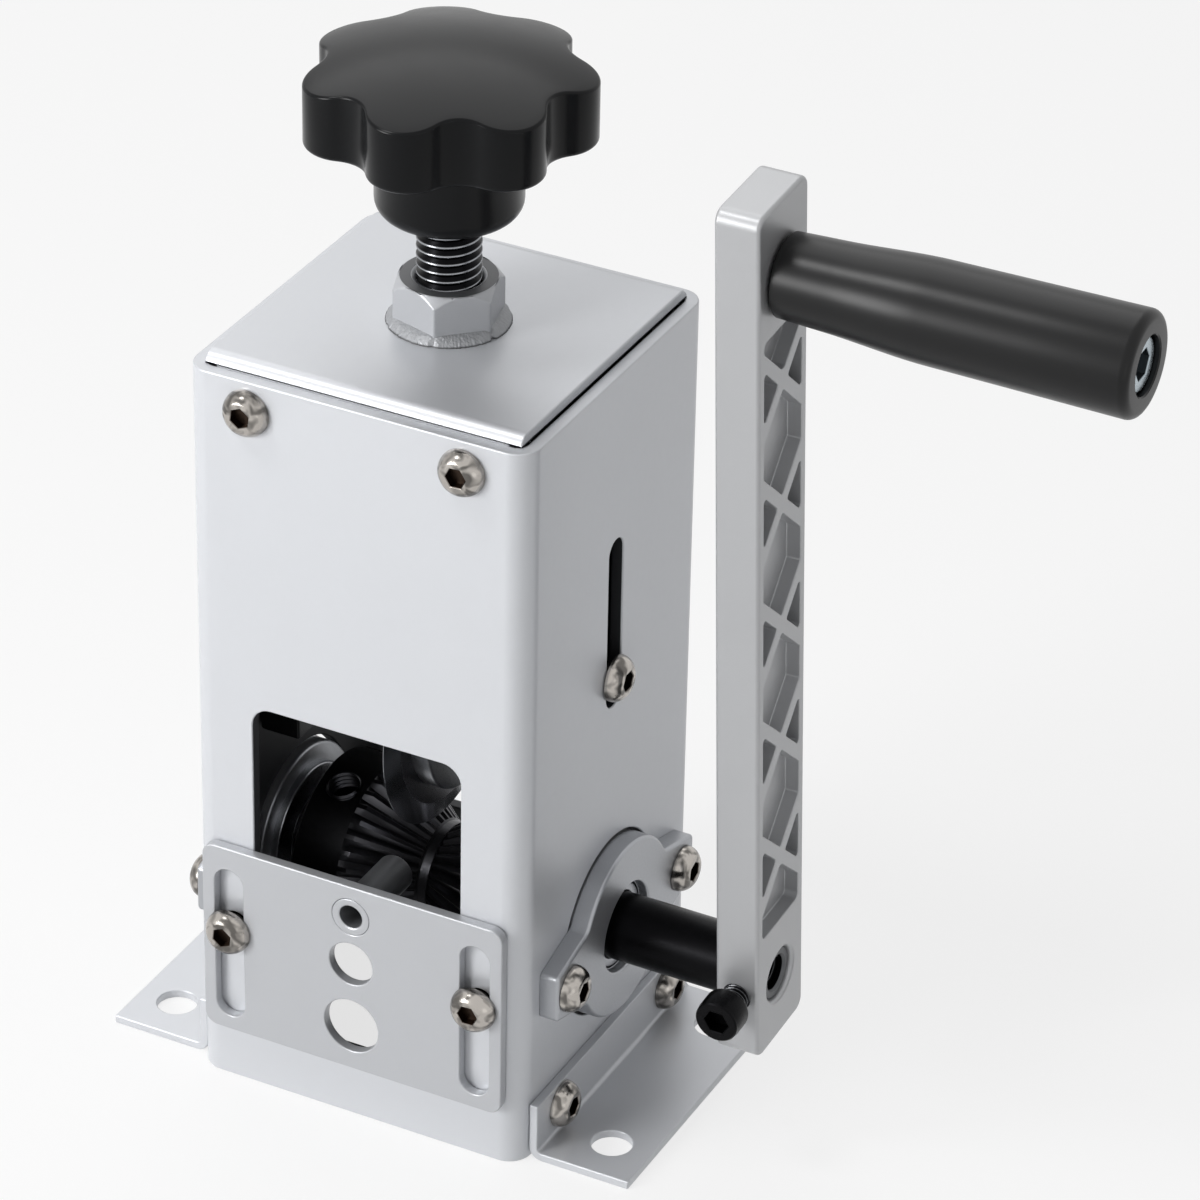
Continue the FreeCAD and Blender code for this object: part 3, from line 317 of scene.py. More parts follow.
def inset(outline, distance):
    """An outline moved inwards."""
    count = len(outline)
    area = sum(outline[i - 1][0] * outline[i][1] - outline[i][0] * outline[i - 1][1] for i in range(count))
    way = 1 if area > 0 else -1
    result = []
    for i in range(count):
        here = Vector(outline[i])
        before = (here - Vector(outline[i - 1])).normalized()
        after = (Vector(outline[(i + 1) % count]) - here).normalized()
        normal_before = Vector((-before.y, before.x)) * way
        normal_after = Vector((-after.y, after.x)) * way
        middle = (normal_before + normal_after).normalized()
        result.append(tuple(here + middle * distance / max(middle.dot(normal_before), 0.4)))
    return result


def soft_slab(outline, low, high, axis, low_edge, high_edge, steps=5):
    """A flat piece whose edges are rounded at its low and high faces."""
    levels = [] if low_edge else [(low, 0.0)]
    if low_edge:
        for k in range(steps + 1):
            turn = math.pi / 2 * (1 - k / steps)
            levels.append((low + low_edge * (1 - math.sin(turn)), low_edge * (1 - math.cos(turn))))
    for turn in quarter_turn(steps):
        levels.append((high - high_edge * (1 - math.sin(turn)), high_edge * (1 - math.cos(turn))))
    return layered([(level, inset(outline, cut)) for level, cut in levels], axis)


def hex_radii(across_flats, steps=72):
    """Radius of a hexagon at each step, with a corner at the first one."""
    radii = []
    for i in range(steps):
        off_flat = (360 * i / steps) % 60 - 30
        radii.append(across_flats / 2 / math.cos(math.radians(off_flat)))
    return radii


def thread(low, high, crest, root, pitch, steps=48, start=0.0):
    """The skin of a right-hand thread, open at both ends."""
    section = ((0.0, crest), (0.14, crest), (0.48, root), (0.66, root))
    count = int((high - low) / pitch * steps) - steps
    points = []
    for i in range(count + steps + 1):
        angle = start + 2 * math.pi * i / steps
        for rise, radius in section:
            height = low + pitch * (i / steps + rise)
            points.append(Vector((radius * math.cos(angle), radius * math.sin(angle), height)))
    size = len(section)
    faces = []
    for i in range(count):
        for j in range(size):
            a = i * size + j
            b = a + 1 if j < size - 1 else (i + steps) * size
            faces.append([a, a + size, b + size, b])
    return points, faces


def make_object(name, shape):
    """A mesh object from a shape, with clean outward faces."""
    points, faces = shape
    mesh = bpy.data.meshes.new(name)
    mesh.from_pydata([point * MM for point in points], [], faces)
    work = bmesh.new()
    work.from_mesh(mesh)
    bmesh.ops.remove_doubles(work, verts=work.verts, dist=2e-7)
    bmesh.ops.delete(work, geom=[v for v in work.verts if not v.link_faces], context="VERTS")
    bmesh.ops.recalc_face_normals(work, faces=work.faces)
    work.to_mesh(mesh)
    work.free()
    made = bpy.data.objects.new(name, mesh)
    bpy.context.scene.collection.objects.link(made)
    return made


def settle(piece):
    """Write a piece's modifiers into its mesh."""
    depsgraph = bpy.context.evaluated_depsgraph_get()
    mesh = bpy.data.meshes.new_from_object(piece.evaluated_get(depsgraph))
    old = piece.data
    piece.modifiers.clear()
    piece.data = mesh
    bpy.data.meshes.remove(old)


def carve(piece, *shapes):
    """Cut shapes out of a piece."""
    cutter = make_object("cutter", join(*shapes))
    cut = piece.modifiers.new("cut", "BOOLEAN")
    cut.operation = "DIFFERENCE"
    cut.solver = "EXACT"
    cut.object = cutter
    settle(piece)
    bpy.data.objects.remove(cutter)


def ease(piece, width, steps=2, sharp=50.0):
    """Round a piece's sharp edges a little, with flat faces kept flat to the eye."""
    piece.data.shade_smooth()
    bevel = piece.modifiers.new("edges", "BEVEL")
    bevel.width = width * MM
    bevel.segments = steps
    bevel.limit_method = "ANGLE"
    bevel.angle_limit = math.radians(sharp)
    bevel.use_clamp_overlap = False
    bevel.miter_outer = "MITER_ARC"
    normals = piece.modifiers.new("normals", "WEIGHTED_NORMAL")
    normals.keep_sharp = True
    settle(piece)


def mark(piece, name, test):
    """Write 1 at the vertices that a test of their place in millimetres picks out, and 0 at the rest."""
    values = [1.0 if test(vertex.co / MM) else 0.0 for vertex in piece.data.vertices]
    piece.data.attributes.new(name, "FLOAT", "POINT").data.foreach_set("value", values)
    return piece


def mark_sockets(piece, placements, radius, floor, lip):
    """Mark the vertices in the sockets of screws made along Z and put at these placements."""
    backs = [matrix.inverted() for matrix in placements]

    def inside(place):
        for back in backs:
            local = back @ place
            if math.hypot(local.x, local.y) < radius and floor < local.z < lip:
                return True
        return False

    return mark(piece, "socket", inside)


def finish_piece(piece, body, slot, material, *nodes, sharp=None):
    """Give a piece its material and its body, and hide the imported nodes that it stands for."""
    if sharp:
        piece.data.shade_smooth()
        piece.data.set_sharp_from_angle(angle=math.radians(sharp))
    piece.data.materials.clear()
    piece.data.materials.append(material)
    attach(piece, body)
    if nodes:
        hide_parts(*nodes)
    return piece


def turned_piece(name, shape, body, slot, material, *nodes, sharp=32.0):
    """A piece straight from its shape."""
    return finish_piece(make_object(name, shape), body, slot, material, *nodes, sharp=sharp)


# Finishes


def add_node(tree, kind, inputs=(), **settings):
    """Add a shader node; an input is a value or another node's output."""
    node = tree.nodes.new(kind)
    for name, value in settings.items():
        setattr(node, name, value)
    for name, value in dict(inputs).items():
        if isinstance(value, bpy.types.NodeSocket):
            tree.links.new(value, node.inputs[name])
        else:
            node.inputs[name].default_value = value
    return node


def finish(colour, metallic, roughness, grain, depth, cloud=0.05, spread=0.06, stretch=(1, 1, 1)):
    """A finish with a slow cloud in its colour and a fine grain, of a size in millimetres, in its gloss."""
    material = bpy.data.materials.new("finish")
    material.use_nodes = True
    tree = material.node_tree
    shader = tree.nodes["Principled BSDF"]
    shader.inputs["Metallic"].default_value = metallic
    place = add_node(tree, "ShaderNodeTexCoord").outputs["Object"]
    cloudy = add_node(tree, "ShaderNodeTexNoise", {"Vector": place, "Scale": 1 / (45 * MM), "Detail": 3.0})
    tint = add_node(tree, "ShaderNodeMix", {0: cloudy.outputs["Fac"], 6: shade(colour, 1 - cloud),
                                            7: shade(colour, 1 + cloud)}, data_type="RGBA")
    drawn = add_node(tree, "ShaderNodeMapping", {"Vector": place, "Scale": stretch})
    fine = add_node(tree, "ShaderNodeTexNoise", {"Vector": drawn.outputs["Vector"],
                                                 "Scale": 1 / (grain * MM), "Detail": 2.0})
    gloss = add_node(tree, "ShaderNodeMapRange", {
        "Value": fine.outputs["Fac"], "From Min": 0.3, "From Max": 0.7,
        "To Min": max(roughness - spread, 0.02), "To Max": roughness + spread})
    relief = add_node(tree, "ShaderNodeBump", {"Height": fine.outputs["Fac"], "Strength": 0.5,
                                               "Distance": depth * MM})
    tree.links.new(tint.outputs[2], shader.inputs["Base Color"])
    tree.links.new(gloss.outputs["Result"], shader.inputs["Roughness"])
    tree.links.new(relief.outputs["Normal"], shader.inputs["Normal"])
    return material


def wear(material, mask, bare, roughness):
    """Lay a bare colour over a finish where a mask is high."""
    tree = material.node_tree
    shader = tree.nodes["Principled BSDF"]
    below = shader.inputs["Base Color"].links[0].from_socket
    laid = add_node(tree, "ShaderNodeMix", {0: mask, 6: below, 7: bare}, data_type="RGBA")
    tree.links.new(laid.outputs[2], shader.inputs["Base Color"])
    gloss = shader.inputs["Roughness"].links[0].from_socket
    polished = add_node(tree, "ShaderNodeMix", {0: mask, 2: gloss, 3: roughness}, data_type="FLOAT")
    tree.links.new(polished.outputs[0], shader.inputs["Roughness"])
    return material


def radial_mask(material, centre, flatten, start, end):
    """High where a point lies further from an axis than the distances given, in millimetres."""
    tree = material.node_tree
    place = add_node(tree, "ShaderNodeTexCoord").outputs["Object"]
    offset = add_node(tree, "ShaderNodeVectorMath", {0: place, 1: Vector(centre) * MM},
                      operation="SUBTRACT")
    flat = add_node(tree, "ShaderNodeVectorMath", {0: offset.outputs[0], 1: flatten}, operation="MULTIPLY")
    reach = add_node(tree, "ShaderNodeVectorMath", {0: flat.outputs[0]}, operation="LENGTH")
    mask = add_node(tree, "ShaderNodeMapRange", {"Value": reach.outputs["Value"], "From Min": start * MM,
                                                 "From Max": end * MM})
    return mask.outputs["Result"]


def past(material, axis, level, way="GREATER_THAN"):
    """1 on one side of a level along an axis, in millimetres."""
    tree = material.node_tree
    place = add_node(tree, "ShaderNodeTexCoord").outputs["Object"]
    parts = add_node(tree, "ShaderNodeSeparateXYZ", {0: place})
    mask = add_node(tree, "ShaderNodeMath", {0: parts.outputs[axis], 1: level * MM}, operation=way)
    return mask.outputs[0]


made_finishes = {}


def once(make):
    """Make a finish when it is first asked for, and name it for its function."""
    def fetch():
        name = make.__name__
        if name not in made_finishes:
            made_finishes[name] = make()
            made_finishes[name].name = name
        return made_finishes[name]
    return fetch


@once
def lacquered_steel():
    """Silver stoving lacquer sprayed on steel sheet: aluminium flake gives a soft sheen and the spray a
    faint orange peel, whose 1.5 mm lumps show only in the highlights."""
    return finish(colour_of("lacquer"), 0.3, 0.38, 1.5, 0.012, cloud=0.015, spread=0.03)


@once
def lacquered_tube():
    """Lacquered outside and on its top rim; the inside and the cut edges are bare mill scale, laid near
    black as painted shade inside the tube.
    """
    material = finish(colour_of("lacquer"), 0.3, 0.38, 1.5, 0.012, cloud=0.015, spread=0.03)
    tree = material.node_tree
    place = add_node(tree, "ShaderNodeTexCoord").outputs["Object"]
    # How far a point lies out from the middles of the corners' rounding
    middle = (span("housing_tube", "x")[1] - tube_corner_r) * MM
    mirrored = add_node(tree, "ShaderNodeVectorMath", {0: place}, operation="ABSOLUTE")
    beyond = add_node(tree, "ShaderNodeVectorMath", {0: mirrored.outputs[0], 1: (middle, middle, 10)},
                      operation="SUBTRACT")
    clipped = add_node(tree, "ShaderNodeVectorMath", {0: beyond.outputs[0], 1: (0, 0, 0)},
                       operation="MAXIMUM")
    reach = add_node(tree, "ShaderNodeVectorMath", {0: clipped.outputs[0]}, operation="LENGTH")
    # Painted shade: the tube's inside walls and the cut edges of its openings take the near-black mill
    # scale colour.
    deep = add_node(tree, "ShaderNodeMath", {0: reach.outputs["Value"], 1: 5.0 * MM}, operation="LESS_THAN")
    below_rim = past(material, "Z", span("housing_tube", "z")[1] - 0.5, "LESS_THAN")
    mask = add_node(tree, "ShaderNodeMath", {0: deep.outputs[0], 1: below_rim}, operation="MULTIPLY")
    return wear(material, mask.outputs[0], colour_of("mill_scale"), 0.6)


@once
def lacquered_plate():
    """The same lacquer in a thinner coat on the small front plate, so more of the grey steel shows."""
    return finish(colour_of("lacquer", 0.78), 0.35, 0.36, 1.5, 0.012, cloud=0.02, spread=0.03)


@once
def lacquered_weld():
    """The lacquer over a raw weld bead: dull and grainy, and darkened along its toe as painted shade where
    it meets the cover.
    """
    material = finish(colour_of("lacquer", 0.56), 0.3, 0.42, 0.55, 0.4, cloud=0.1)
    tree = material.node_tree
    place = add_node(tree, "ShaderNodeTexCoord").outputs["Object"]
    parts = add_node(tree, "ShaderNodeSeparateXYZ", {0: place})
    low = span("nut_weld", "z")[0]
    # Painted shade: the bead turns near black along its toe, in the crease where it meets the cover.
    toe = add_node(tree, "ShaderNodeMapRange", {"Value": parts.outputs["Z"], "From Min": (low + 0.42) * MM,
                                                "From Max": (low + 0.12) * MM})
    return wear(material, toe.outputs["Result"], colour_of("lacquer", 0.1), 0.6)


@once
def lacquered_nut():
    """Machined nut under the same lacquer, so its faces are smoother than the weld's."""
    material = finish(colour_of("lacquer", 0.8), 0.3, 0.38, 0.8, 0.02, cloud=0.03)
    # The nut's end face is laid in a darker grey.
    face = past(material, "Z", span("spindle_nut", "z")[1] - 0.04)
    return wear(material, face, colour_of("ground_steel", 0.3), 0.45)


@once
def zinc_cast_steel():
    """Cast flange with satin zinc plate: mid grey, with the casting's fine skin under the plate."""
    return finish(colour_of("flange"), 0.8, 0.38, 0.5, 0.02, cloud=0.05)


@once
def polished_stainless():
    """Cold-formed and tumbled stainless screws: warm and bright, with hair scratches 0.25 mm apart."""
    material = finish(colour_of("stainless"), 1.0, 0.19, 0.25, 0.004, cloud=0.05, spread=0.05)
    # Painted reflection: dark blotches 1 to 2 mm wide break the heads' shine into light and dark, standing
    # in for uneven reflections on the cold-formed domes.
    tree = material.node_tree
    place = add_node(tree, "ShaderNodeTexCoord").outputs["Object"]
    flow = add_node(tree, "ShaderNodeTexNoise", {"Vector": place, "Scale": 1 / (2.6 * MM), "Detail": 1.0,
                                                 "Distortion": 0.6})
    reflection_patches = add_node(tree, "ShaderNodeMapRange", {"Value": flow.outputs["Fac"], "From Min": 0.42,
                                                    "From Max": 0.64})
    material = wear(material, reflection_patches.outputs["Result"], colour_of("stainless", 0.3), 0.24)
    # The sockets are brown-black inside, where the tumbling doesn't reach the forging's oxide.
    oxide = add_node(material.node_tree, "ShaderNodeAttribute", attribute_name="socket")
    return wear(material, oxide.outputs["Fac"], linear("#3a3029") + [1.0], 0.3)


@once
def ground_steel():
    """Ground and turned steel: light grey, satin, with fine turning marks across the axis."""
    return finish(colour_of("ground_steel"), 1.0, 0.32, 0.3, 0.006, cloud=0.06, stretch=(4, 1, 1))


@once
def dull_turned_steel():
    """Turned tube left as machined: matte grey with no polish."""
    return finish(colour_of("ground_steel", 0.8), 0.8, 0.5, 0.4, 0.02, cloud=0.1, stretch=(1, 4, 1))


@once
def faced_tube_steel():
    """The wire guide: matte and grey along its length, with its front end faced bright."""
    material = finish(colour_of("ground_steel", 0.6), 0.7, 0.46, 0.4, 0.02, cloud=0.08, stretch=(1, 4, 1))
    face = past(material, "Y", span("guide_tube", "y")[0] + 0.25, "LESS_THAN")
    return wear(material, face, colour_of("lacquer", 0.8), 0.36)


def rubbed(material):
    """Bare the crests that a piece's crest attribute marks."""
    crest = add_node(material.node_tree, "ShaderNodeAttribute", attribute_name="crest")
    edge = add_node(material.node_tree, "ShaderNodeMapRange", {"Value": crest.outputs["Fac"],
                                                               "From Min": 0.75})
    return wear(material, edge.outputs["Result"], colour_of("ground_steel", 0.5), 0.3)


@once
def black_oxide_steel():
    """Blackened steel, oiled: near black with a satin grey sheen, and bare on the crests of its threads."""
    return rubbed(finish(colour_of("black_oxide"), 0.9, 0.32, 0.5, 0.008, cloud=0.15))


@once
def black_oxide_shaft():
    """The same on the drive shaft, whose right end is faced to bare steel."""
    material = rubbed(finish(colour_of("black_oxide"), 0.9, 0.34, 0.5, 0.008, cloud=0.15))
    face = past(material, "X", span("drive_shaft", "x")[1] - 0.6)
    return wear(material, face, colour_of("ground_steel", 0.25), 0.4)


@once
def black_oxide_thread():
    """Blackened spindle whose crests are rubbed to bare steel by the nut."""
    material = finish(colour_of("black_oxide"), 0.95, 0.3, 0.5, 0.008, cloud=0.15)
    crest = span("threaded_spindle", "x")[1] - 0.02
    mask = radial_mask(material, (0, 0, 0), (1, 1, 0), crest - 0.2, crest)
    return wear(material, mask, colour_of("ground_steel"), 0.25)


@once
def blade_steel():
    """Hardened tool steel: dark from heat treatment, with a bright ground bevel."""
    material = finish(colour_of("tool_steel"), 1.0, 0.3, 0.35, 0.006, cloud=0.1, stretch=(1, 1, 5))
    blade_radius = (span("cutter_blade", "z")[1] - span("cutter_blade", "z")[0]) / 2
    mask = radial_mask(material, (0, 0, axle_z), (0, 1, 1), blade_radius - 5.2, blade_radius - 4.7)
    return wear(material, mask, colour_of("ground_steel"), 0.24)


@once
def roller_steel():
    """Hardened, oiled feed roller: dark, with tooth crests polished by the wire."""
    material = finish(colour_of("tool_steel", 0.4), 1.0, 0.36, 0.5, 0.015, cloud=0.15)
    crest = add_node(material.node_tree, "ShaderNodeAttribute", attribute_name="crest")
    return wear(material, crest.outputs["Fac"], colour_of("tool_steel", 0.8), 0.28)


@once
def blasted_aluminium():
    """Milled aluminium, bead blasted and clear anodised: soft silver with a 0.3 mm blasted grain."""
    return finish(colour_of("aluminium"), 0.45, 0.4, 0.3, 0.012, cloud=0.03, spread=0.04)


@once
def black_anodised_aluminium():
    """Milled yoke, anodised black: the cutter's marks still show faintly along its legs."""
    return finish(colour_of("anodised"), 0.6, 0.4, 0.5, 0.012, cloud=0.1, stretch=(1, 1, 5))


@once
def sintered_bronze():
    """Oil-filled sintered bronze: brown and porous, with pores drawn 0.3 mm wide."""
    return finish(colour_of("bronze"), 1.0, 0.42, 0.3, 0.02, cloud=0.1)


@once
def phosphated_spring_steel():
    """Stamped spring steel, phosphated: dark grey and dry."""
    return finish(colour_of("tool_steel", 0.35), 0.7, 0.48, 0.4, 0.01, cloud=0.1)


@once
def moulded_phenolic():
    """Star knob moulded in black phenolic: glossy and deep, with faint flow marks in the gloss."""
    material = finish(colour_of("knob"), 0.0, 0.23, 6.0, 0.012, cloud=0.12, spread=0.02)
    shader = material.node_tree.nodes["Principled BSDF"]
    shader.inputs["IOR"].default_value = 1.55
    shader.inputs["Specular IOR Level"].default_value = 0.14
    return material


@once
def moulded_polypropylene():
    """Grip moulded in black polypropylene: satin, with a fine eroded mould texture of 0.4 mm."""
    material = finish(colour_of("grip"), 0.0, 0.32, 0.4, 0.003, cloud=0.12, spread=0.015)
    shader = material.node_tree.nodes["Principled BSDF"]
    shader.inputs["IOR"].default_value = 1.49
    shader.inputs["Specular IOR Level"].default_value = 0.3
    return material


@once
def blue_zinc_plate():
    """Bolt with blue-white zinc plate: bright, cool and slightly milky, with painted shade darkening it
    down in its socket.
    """
    material = finish(colour_of("zinc"), 1.0, 0.28, 0.4, 0.006, cloud=0.06)
    deep = add_node(material.node_tree, "ShaderNodeAttribute", attribute_name="socket")
    # Painted shade: the socket's inside is laid at about a third of the zinc's brightness.
    return wear(material, deep.outputs["Fac"], colour_of("zinc", 0.35), 0.35)


# Pieces


def lacquered(name, shape, *cuts):
    """A sheet steel piece: cut to shape, with its edges eased for the lacquer."""
    piece = make_object(name, shape)
    for cut in cuts:
        carve(piece, *cut)
    ease(piece, setting("steel_edge"))
    return piece


class WIRESTRIPPER_OT_housing(bpy.types.Operator):
    """Square steel tube with its windows, side slots and bearing holes"""
    bl_idname = "wirestripper.housing"
    bl_label = "Housing"

    def execute(self, context):
        half = span("housing_tube", "x")[1]
        top = span("housing_tube", "z")[1]
        inner = half - tube_wall
        slot_half, slot_low, slot_high = 3.25, 94.95, 135.95
        boss_hole_r = 21.1
        window_half, front_sill, back_sill, window_top = 25, 16.5, 30.0, 97
        shell = slab(rounded(box_outline(-half, half, -half, half, tube_corner_r), 10), 0, top)
        hollow = slab(rounded(box_outline(-inner, inner, -inner, inner, 2.4), 6), -1, top + 1)
        cuts = []
        for side, sill in ((-1, front_sill), (1, back_sill)):
            ends = on_side(side, half - 5, half + 1)
            window = rounded(box_outline(-window_half, window_half, sill, window_top, 4.5), 8)
            cuts.append(slab(window, *ends, "y"))
            for x in both_ways(top_screw_x):
                cuts.append(slab(circle(screw_hole_r, x, top_screw_z), *ends, "y"))
        for x in both_ways(feed_screw_x):
            cuts.append(slab(circle(screw_hole_r, x, shaft_z), -half - 1, 5 - half, "y"))
        for side in (-1, 1):
            ends = on_side(side, half - 5, half + 1)
            slot = rounded(box_outline(-slot_half, slot_half, slot_low, slot_high, slot_half - 0.001), 10)
            cuts.append(slab(slot, *ends, "x"))
            cuts.append(slab(circle(boss_hole_r, 0, shaft_z, 96), *ends, "x"))
            for y in both_ways(bearing_screw_y):
                cuts.append(slab(circle(screw_hole_r, y, shaft_z), *ends, "x"))
            for y in both_ways(bracket_screw_y):
                cuts.append(slab(circle(screw_hole_r, y, bracket_screw_z), *ends, "x"))
        piece = lacquered("housing_shell", shell, [hollow], cuts)
        finish_piece(piece, "housing", "housing_paint", lacquered_tube(), "housing_tube")
        return {"FINISHED"}


class WIRESTRIPPER_OT_top_plate(bpy.types.Operator):
    """Folded cover with notched corners, dropped into the tube's top"""
    bl_idname = "wirestripper.top_plate"
    bl_label = "Top Plate"

    def execute(self, context):
        bottom, top = span("top_plate", "z")
        reach = span("top_plate", "y")[1]
        half = span("top_plate", "x")[1]
        sheet = 2.5
        spindle_hole_r = 7.4
        corners = [
            (-reach, bottom), (-reach, top, 3.0), (reach, top, 3.0), (reach, bottom),
            (reach - sheet, bottom), (reach - sheet, top - sheet, 0.5),
            (sheet - reach, top - sheet, 0.5), (sheet - reach, bottom),
        ]
        fold = slab(rounded(corners, 8), -half, half, "x")
        cuts = [slab(circle(spindle_hole_r, 0, 0, 96), top - 5, top + 1)]
        notches = []
        for side in (-1, 1):
            ends = on_side(side, reach - 4, reach + 1)
            for x in both_ways(top_screw_x):
                cuts.append(slab(circle(screw_hole_r, x, top_screw_z), *ends, "y"))
            for end in (-1, 1):
                xs = on_side(side, half - 2.8, half + 1)
                ys = on_side(end, reach - 3.6, reach + 1)
                notches.append(slab(box_outline(*xs, *ys), bottom - 1, top - 2.45))
        piece = lacquered("top_cover", fold, cuts, notches)
        finish_piece(piece, "housing", "top_paint", lacquered_steel(), "top_plate")
        return {"FINISHED"}


def turned_hexagon(across_flats, low, high, face_r, angle, bore_r, relief, low_chamfer, steps=72):
    """A hexagon with its corners turned off at an angle and its bore countersunk."""
    radii = hex_radii(across_flats, steps)
    drop = [max(r - face_r, 0) * math.tan(math.radians(angle)) for r in radii]
    upper = [high - d for d in drop]
    lower = [low + d for d in drop] if low_chamfer else [low] * steps
    rows = [(lower, radii), (upper, radii), (high, face_r), (high, bore_r + relief),
            (high - relief, bore_r), (low, bore_r)]
    if low_chamfer:
        rows.append((low, face_r))
    return lathe(rows, steps, wrap=True)


class WIRESTRIPPER_OT_spindle_nut(bpy.types.Operator):
    """Heavy nut welded on the cover, with its lumpy weld bead"""
    bl_idname = "wirestripper.spindle_nut"
    bl_label = "Spindle Nut and Weld"

    def execute(self, context):
        low, high = span("spindle_nut", "z")
        across_flats = 21
        turn = Matrix.Rotation(math.radians(-16.3), 4, "Z")
        nut = turned_hexagon(across_flats, low, high, face_r=10.4, angle=53, bore_r=6.98, relief=0.8,
                             low_chamfer=False, steps=144)
        nut = make_object("welded_nut", moved(nut, turn))
        ease(nut, 0.3, sharp=25.0)
        finish_piece(nut, "housing", "nut_paint", lacquered_nut(), "spindle_nut")

        steps = 540
        radii = hex_radii(across_flats, steps)
        toe = span("nut_weld", "x")[1]
        reach = toe / setting("weld_lump")
        # Each side of the nut has its own run of weld. Two runs meet in a notch, deepest at one corner.
        notches = (1.0, 0.35, 0.5, 0.35, 0.35, 0.45)
        levels = 12
        rings = []
        for k in range(levels + 1):
            share = 1 - k / levels
            bulge = 0.7 * share * (1 - share)
            heights = []
            widths = []
            for i in range(steps):
                around = 6 * i / steps
                corner = round(around)
                dip = notches[corner % 6] * math.exp(-((around - corner) / 0.045) ** 2)
                turned = 2 * math.pi * i / steps
                at = Vector((math.cos(turned), math.sin(turned), 0)) * reach * (1 - 0.2 * share)
                lump = 0.12 * noise.noise(at) + 0.1 * noise.noise(at * 2.3)
                width = toe - 0.25 - 0.8 * dip + 0.16 * noise.noise(at.normalized() * reach * 1.4)
                rise = share * (2.0 - 0.9 * dip) + bulge + (lump if 0 < k < levels else 0)
                heights.append(low + min(0.06 + rise, 2.28))
                widths.append(radii[i] - 0.1 + (1 - share) * (width - radii[i] + 0.1) + bulge)
            rings.append((heights, widths))
        # The bead's foot, and its back inside the nut
        hidden = [min(r, 10.9) - 0.5 for r in radii]
        rings.append((low + 0.02, [width + 0.02 for width in rings[-1][1]]))
        rings.append((low + 0.02, hidden))
        rings.append((rings[0][0], hidden))
        bead = moved(lathe(rings, steps, wrap=True), turn)
        turned_piece("weld_bead", bead, "housing", "weld_paint", lacquered_weld(), "nut_weld", sharp=60.0)
        return {"FINISHED"}


class WIRESTRIPPER_OT_foot_brackets(bpy.types.Operator):
    """Two folded feet with their bench holes"""
    bl_idname = "wirestripper.foot_brackets"
    bl_label = "Foot Brackets"

    def execute(self, context):
        wall, toe = span("foot_bracket_right", "x")
        top = span("foot_bracket_right", "z")[1]
        reach = span("foot_bracket_right", "y")[1]
        sheet = 2
        bench_hole_r = 4.5
        profile = rounded([(wall, top), (wall, 0, 3.0), (toe, 0), (toe, sheet), (wall + sheet, sheet, 1.0),
                           (wall + sheet, top)])
        bracket = slab(profile, -reach, reach, "y")
        ys = both_ways(bracket_screw_y)
        cuts = [slab(circle(bench_hole_r, wall + 14.5, y), -1, 3) for y in ys]
        cuts += [slab(circle(screw_hole_r, y, bracket_screw_z), wall - 1, wall + 3, "x") for y in ys]
        for name, flip in SIDES:
            piece = lacquered("foot_" + name, moved(bracket, flip), [moved(cut, flip) for cut in cuts])
            finish_piece(piece, "housing", "bracket_paint", lacquered_steel(), "foot_bracket_" + name)
        return {"FINISHED"}


def flange_outline():
    """A disc with two tapered ears, blended at the waist."""
    disc, reach, tip, root, root_y = 20.5, 32.0, 5.5, 9.5, 17.5
    slope = (root - tip) / (reach - root_y)
    a = 1 + slope * slope
    b = -2 * slope * (tip + slope * reach)
    c = (tip + slope * reach) ** 2 - disc * disc
    waist = (-b + math.sqrt(b * b - 4 * a * c)) / (2 * a)
    waist_z = tip + slope * (reach - waist)
    turn = math.degrees(math.atan2(waist_z, waist)) + 4.3
    half = [(reach, -tip, 1.2), (reach, tip, 1.2), (waist, waist_z, 3.0)]
    half += circle(disc, 0, 0, 40, turn, 180 - 2 * turn)
    half += [(-waist, waist_z, 3.0), (-reach, tip, 1.2), (-reach, -tip, 1.2), (-waist, -waist_z, 3.0)]
    half += circle(disc, 0, 0, 40, 180 + turn, 180 - 2 * turn)
    half.append((waist, -waist_z, 3.0))
    return rounded([(corner[0], corner[1] + shaft_z, *corner[2:]) for corner in half], 6)


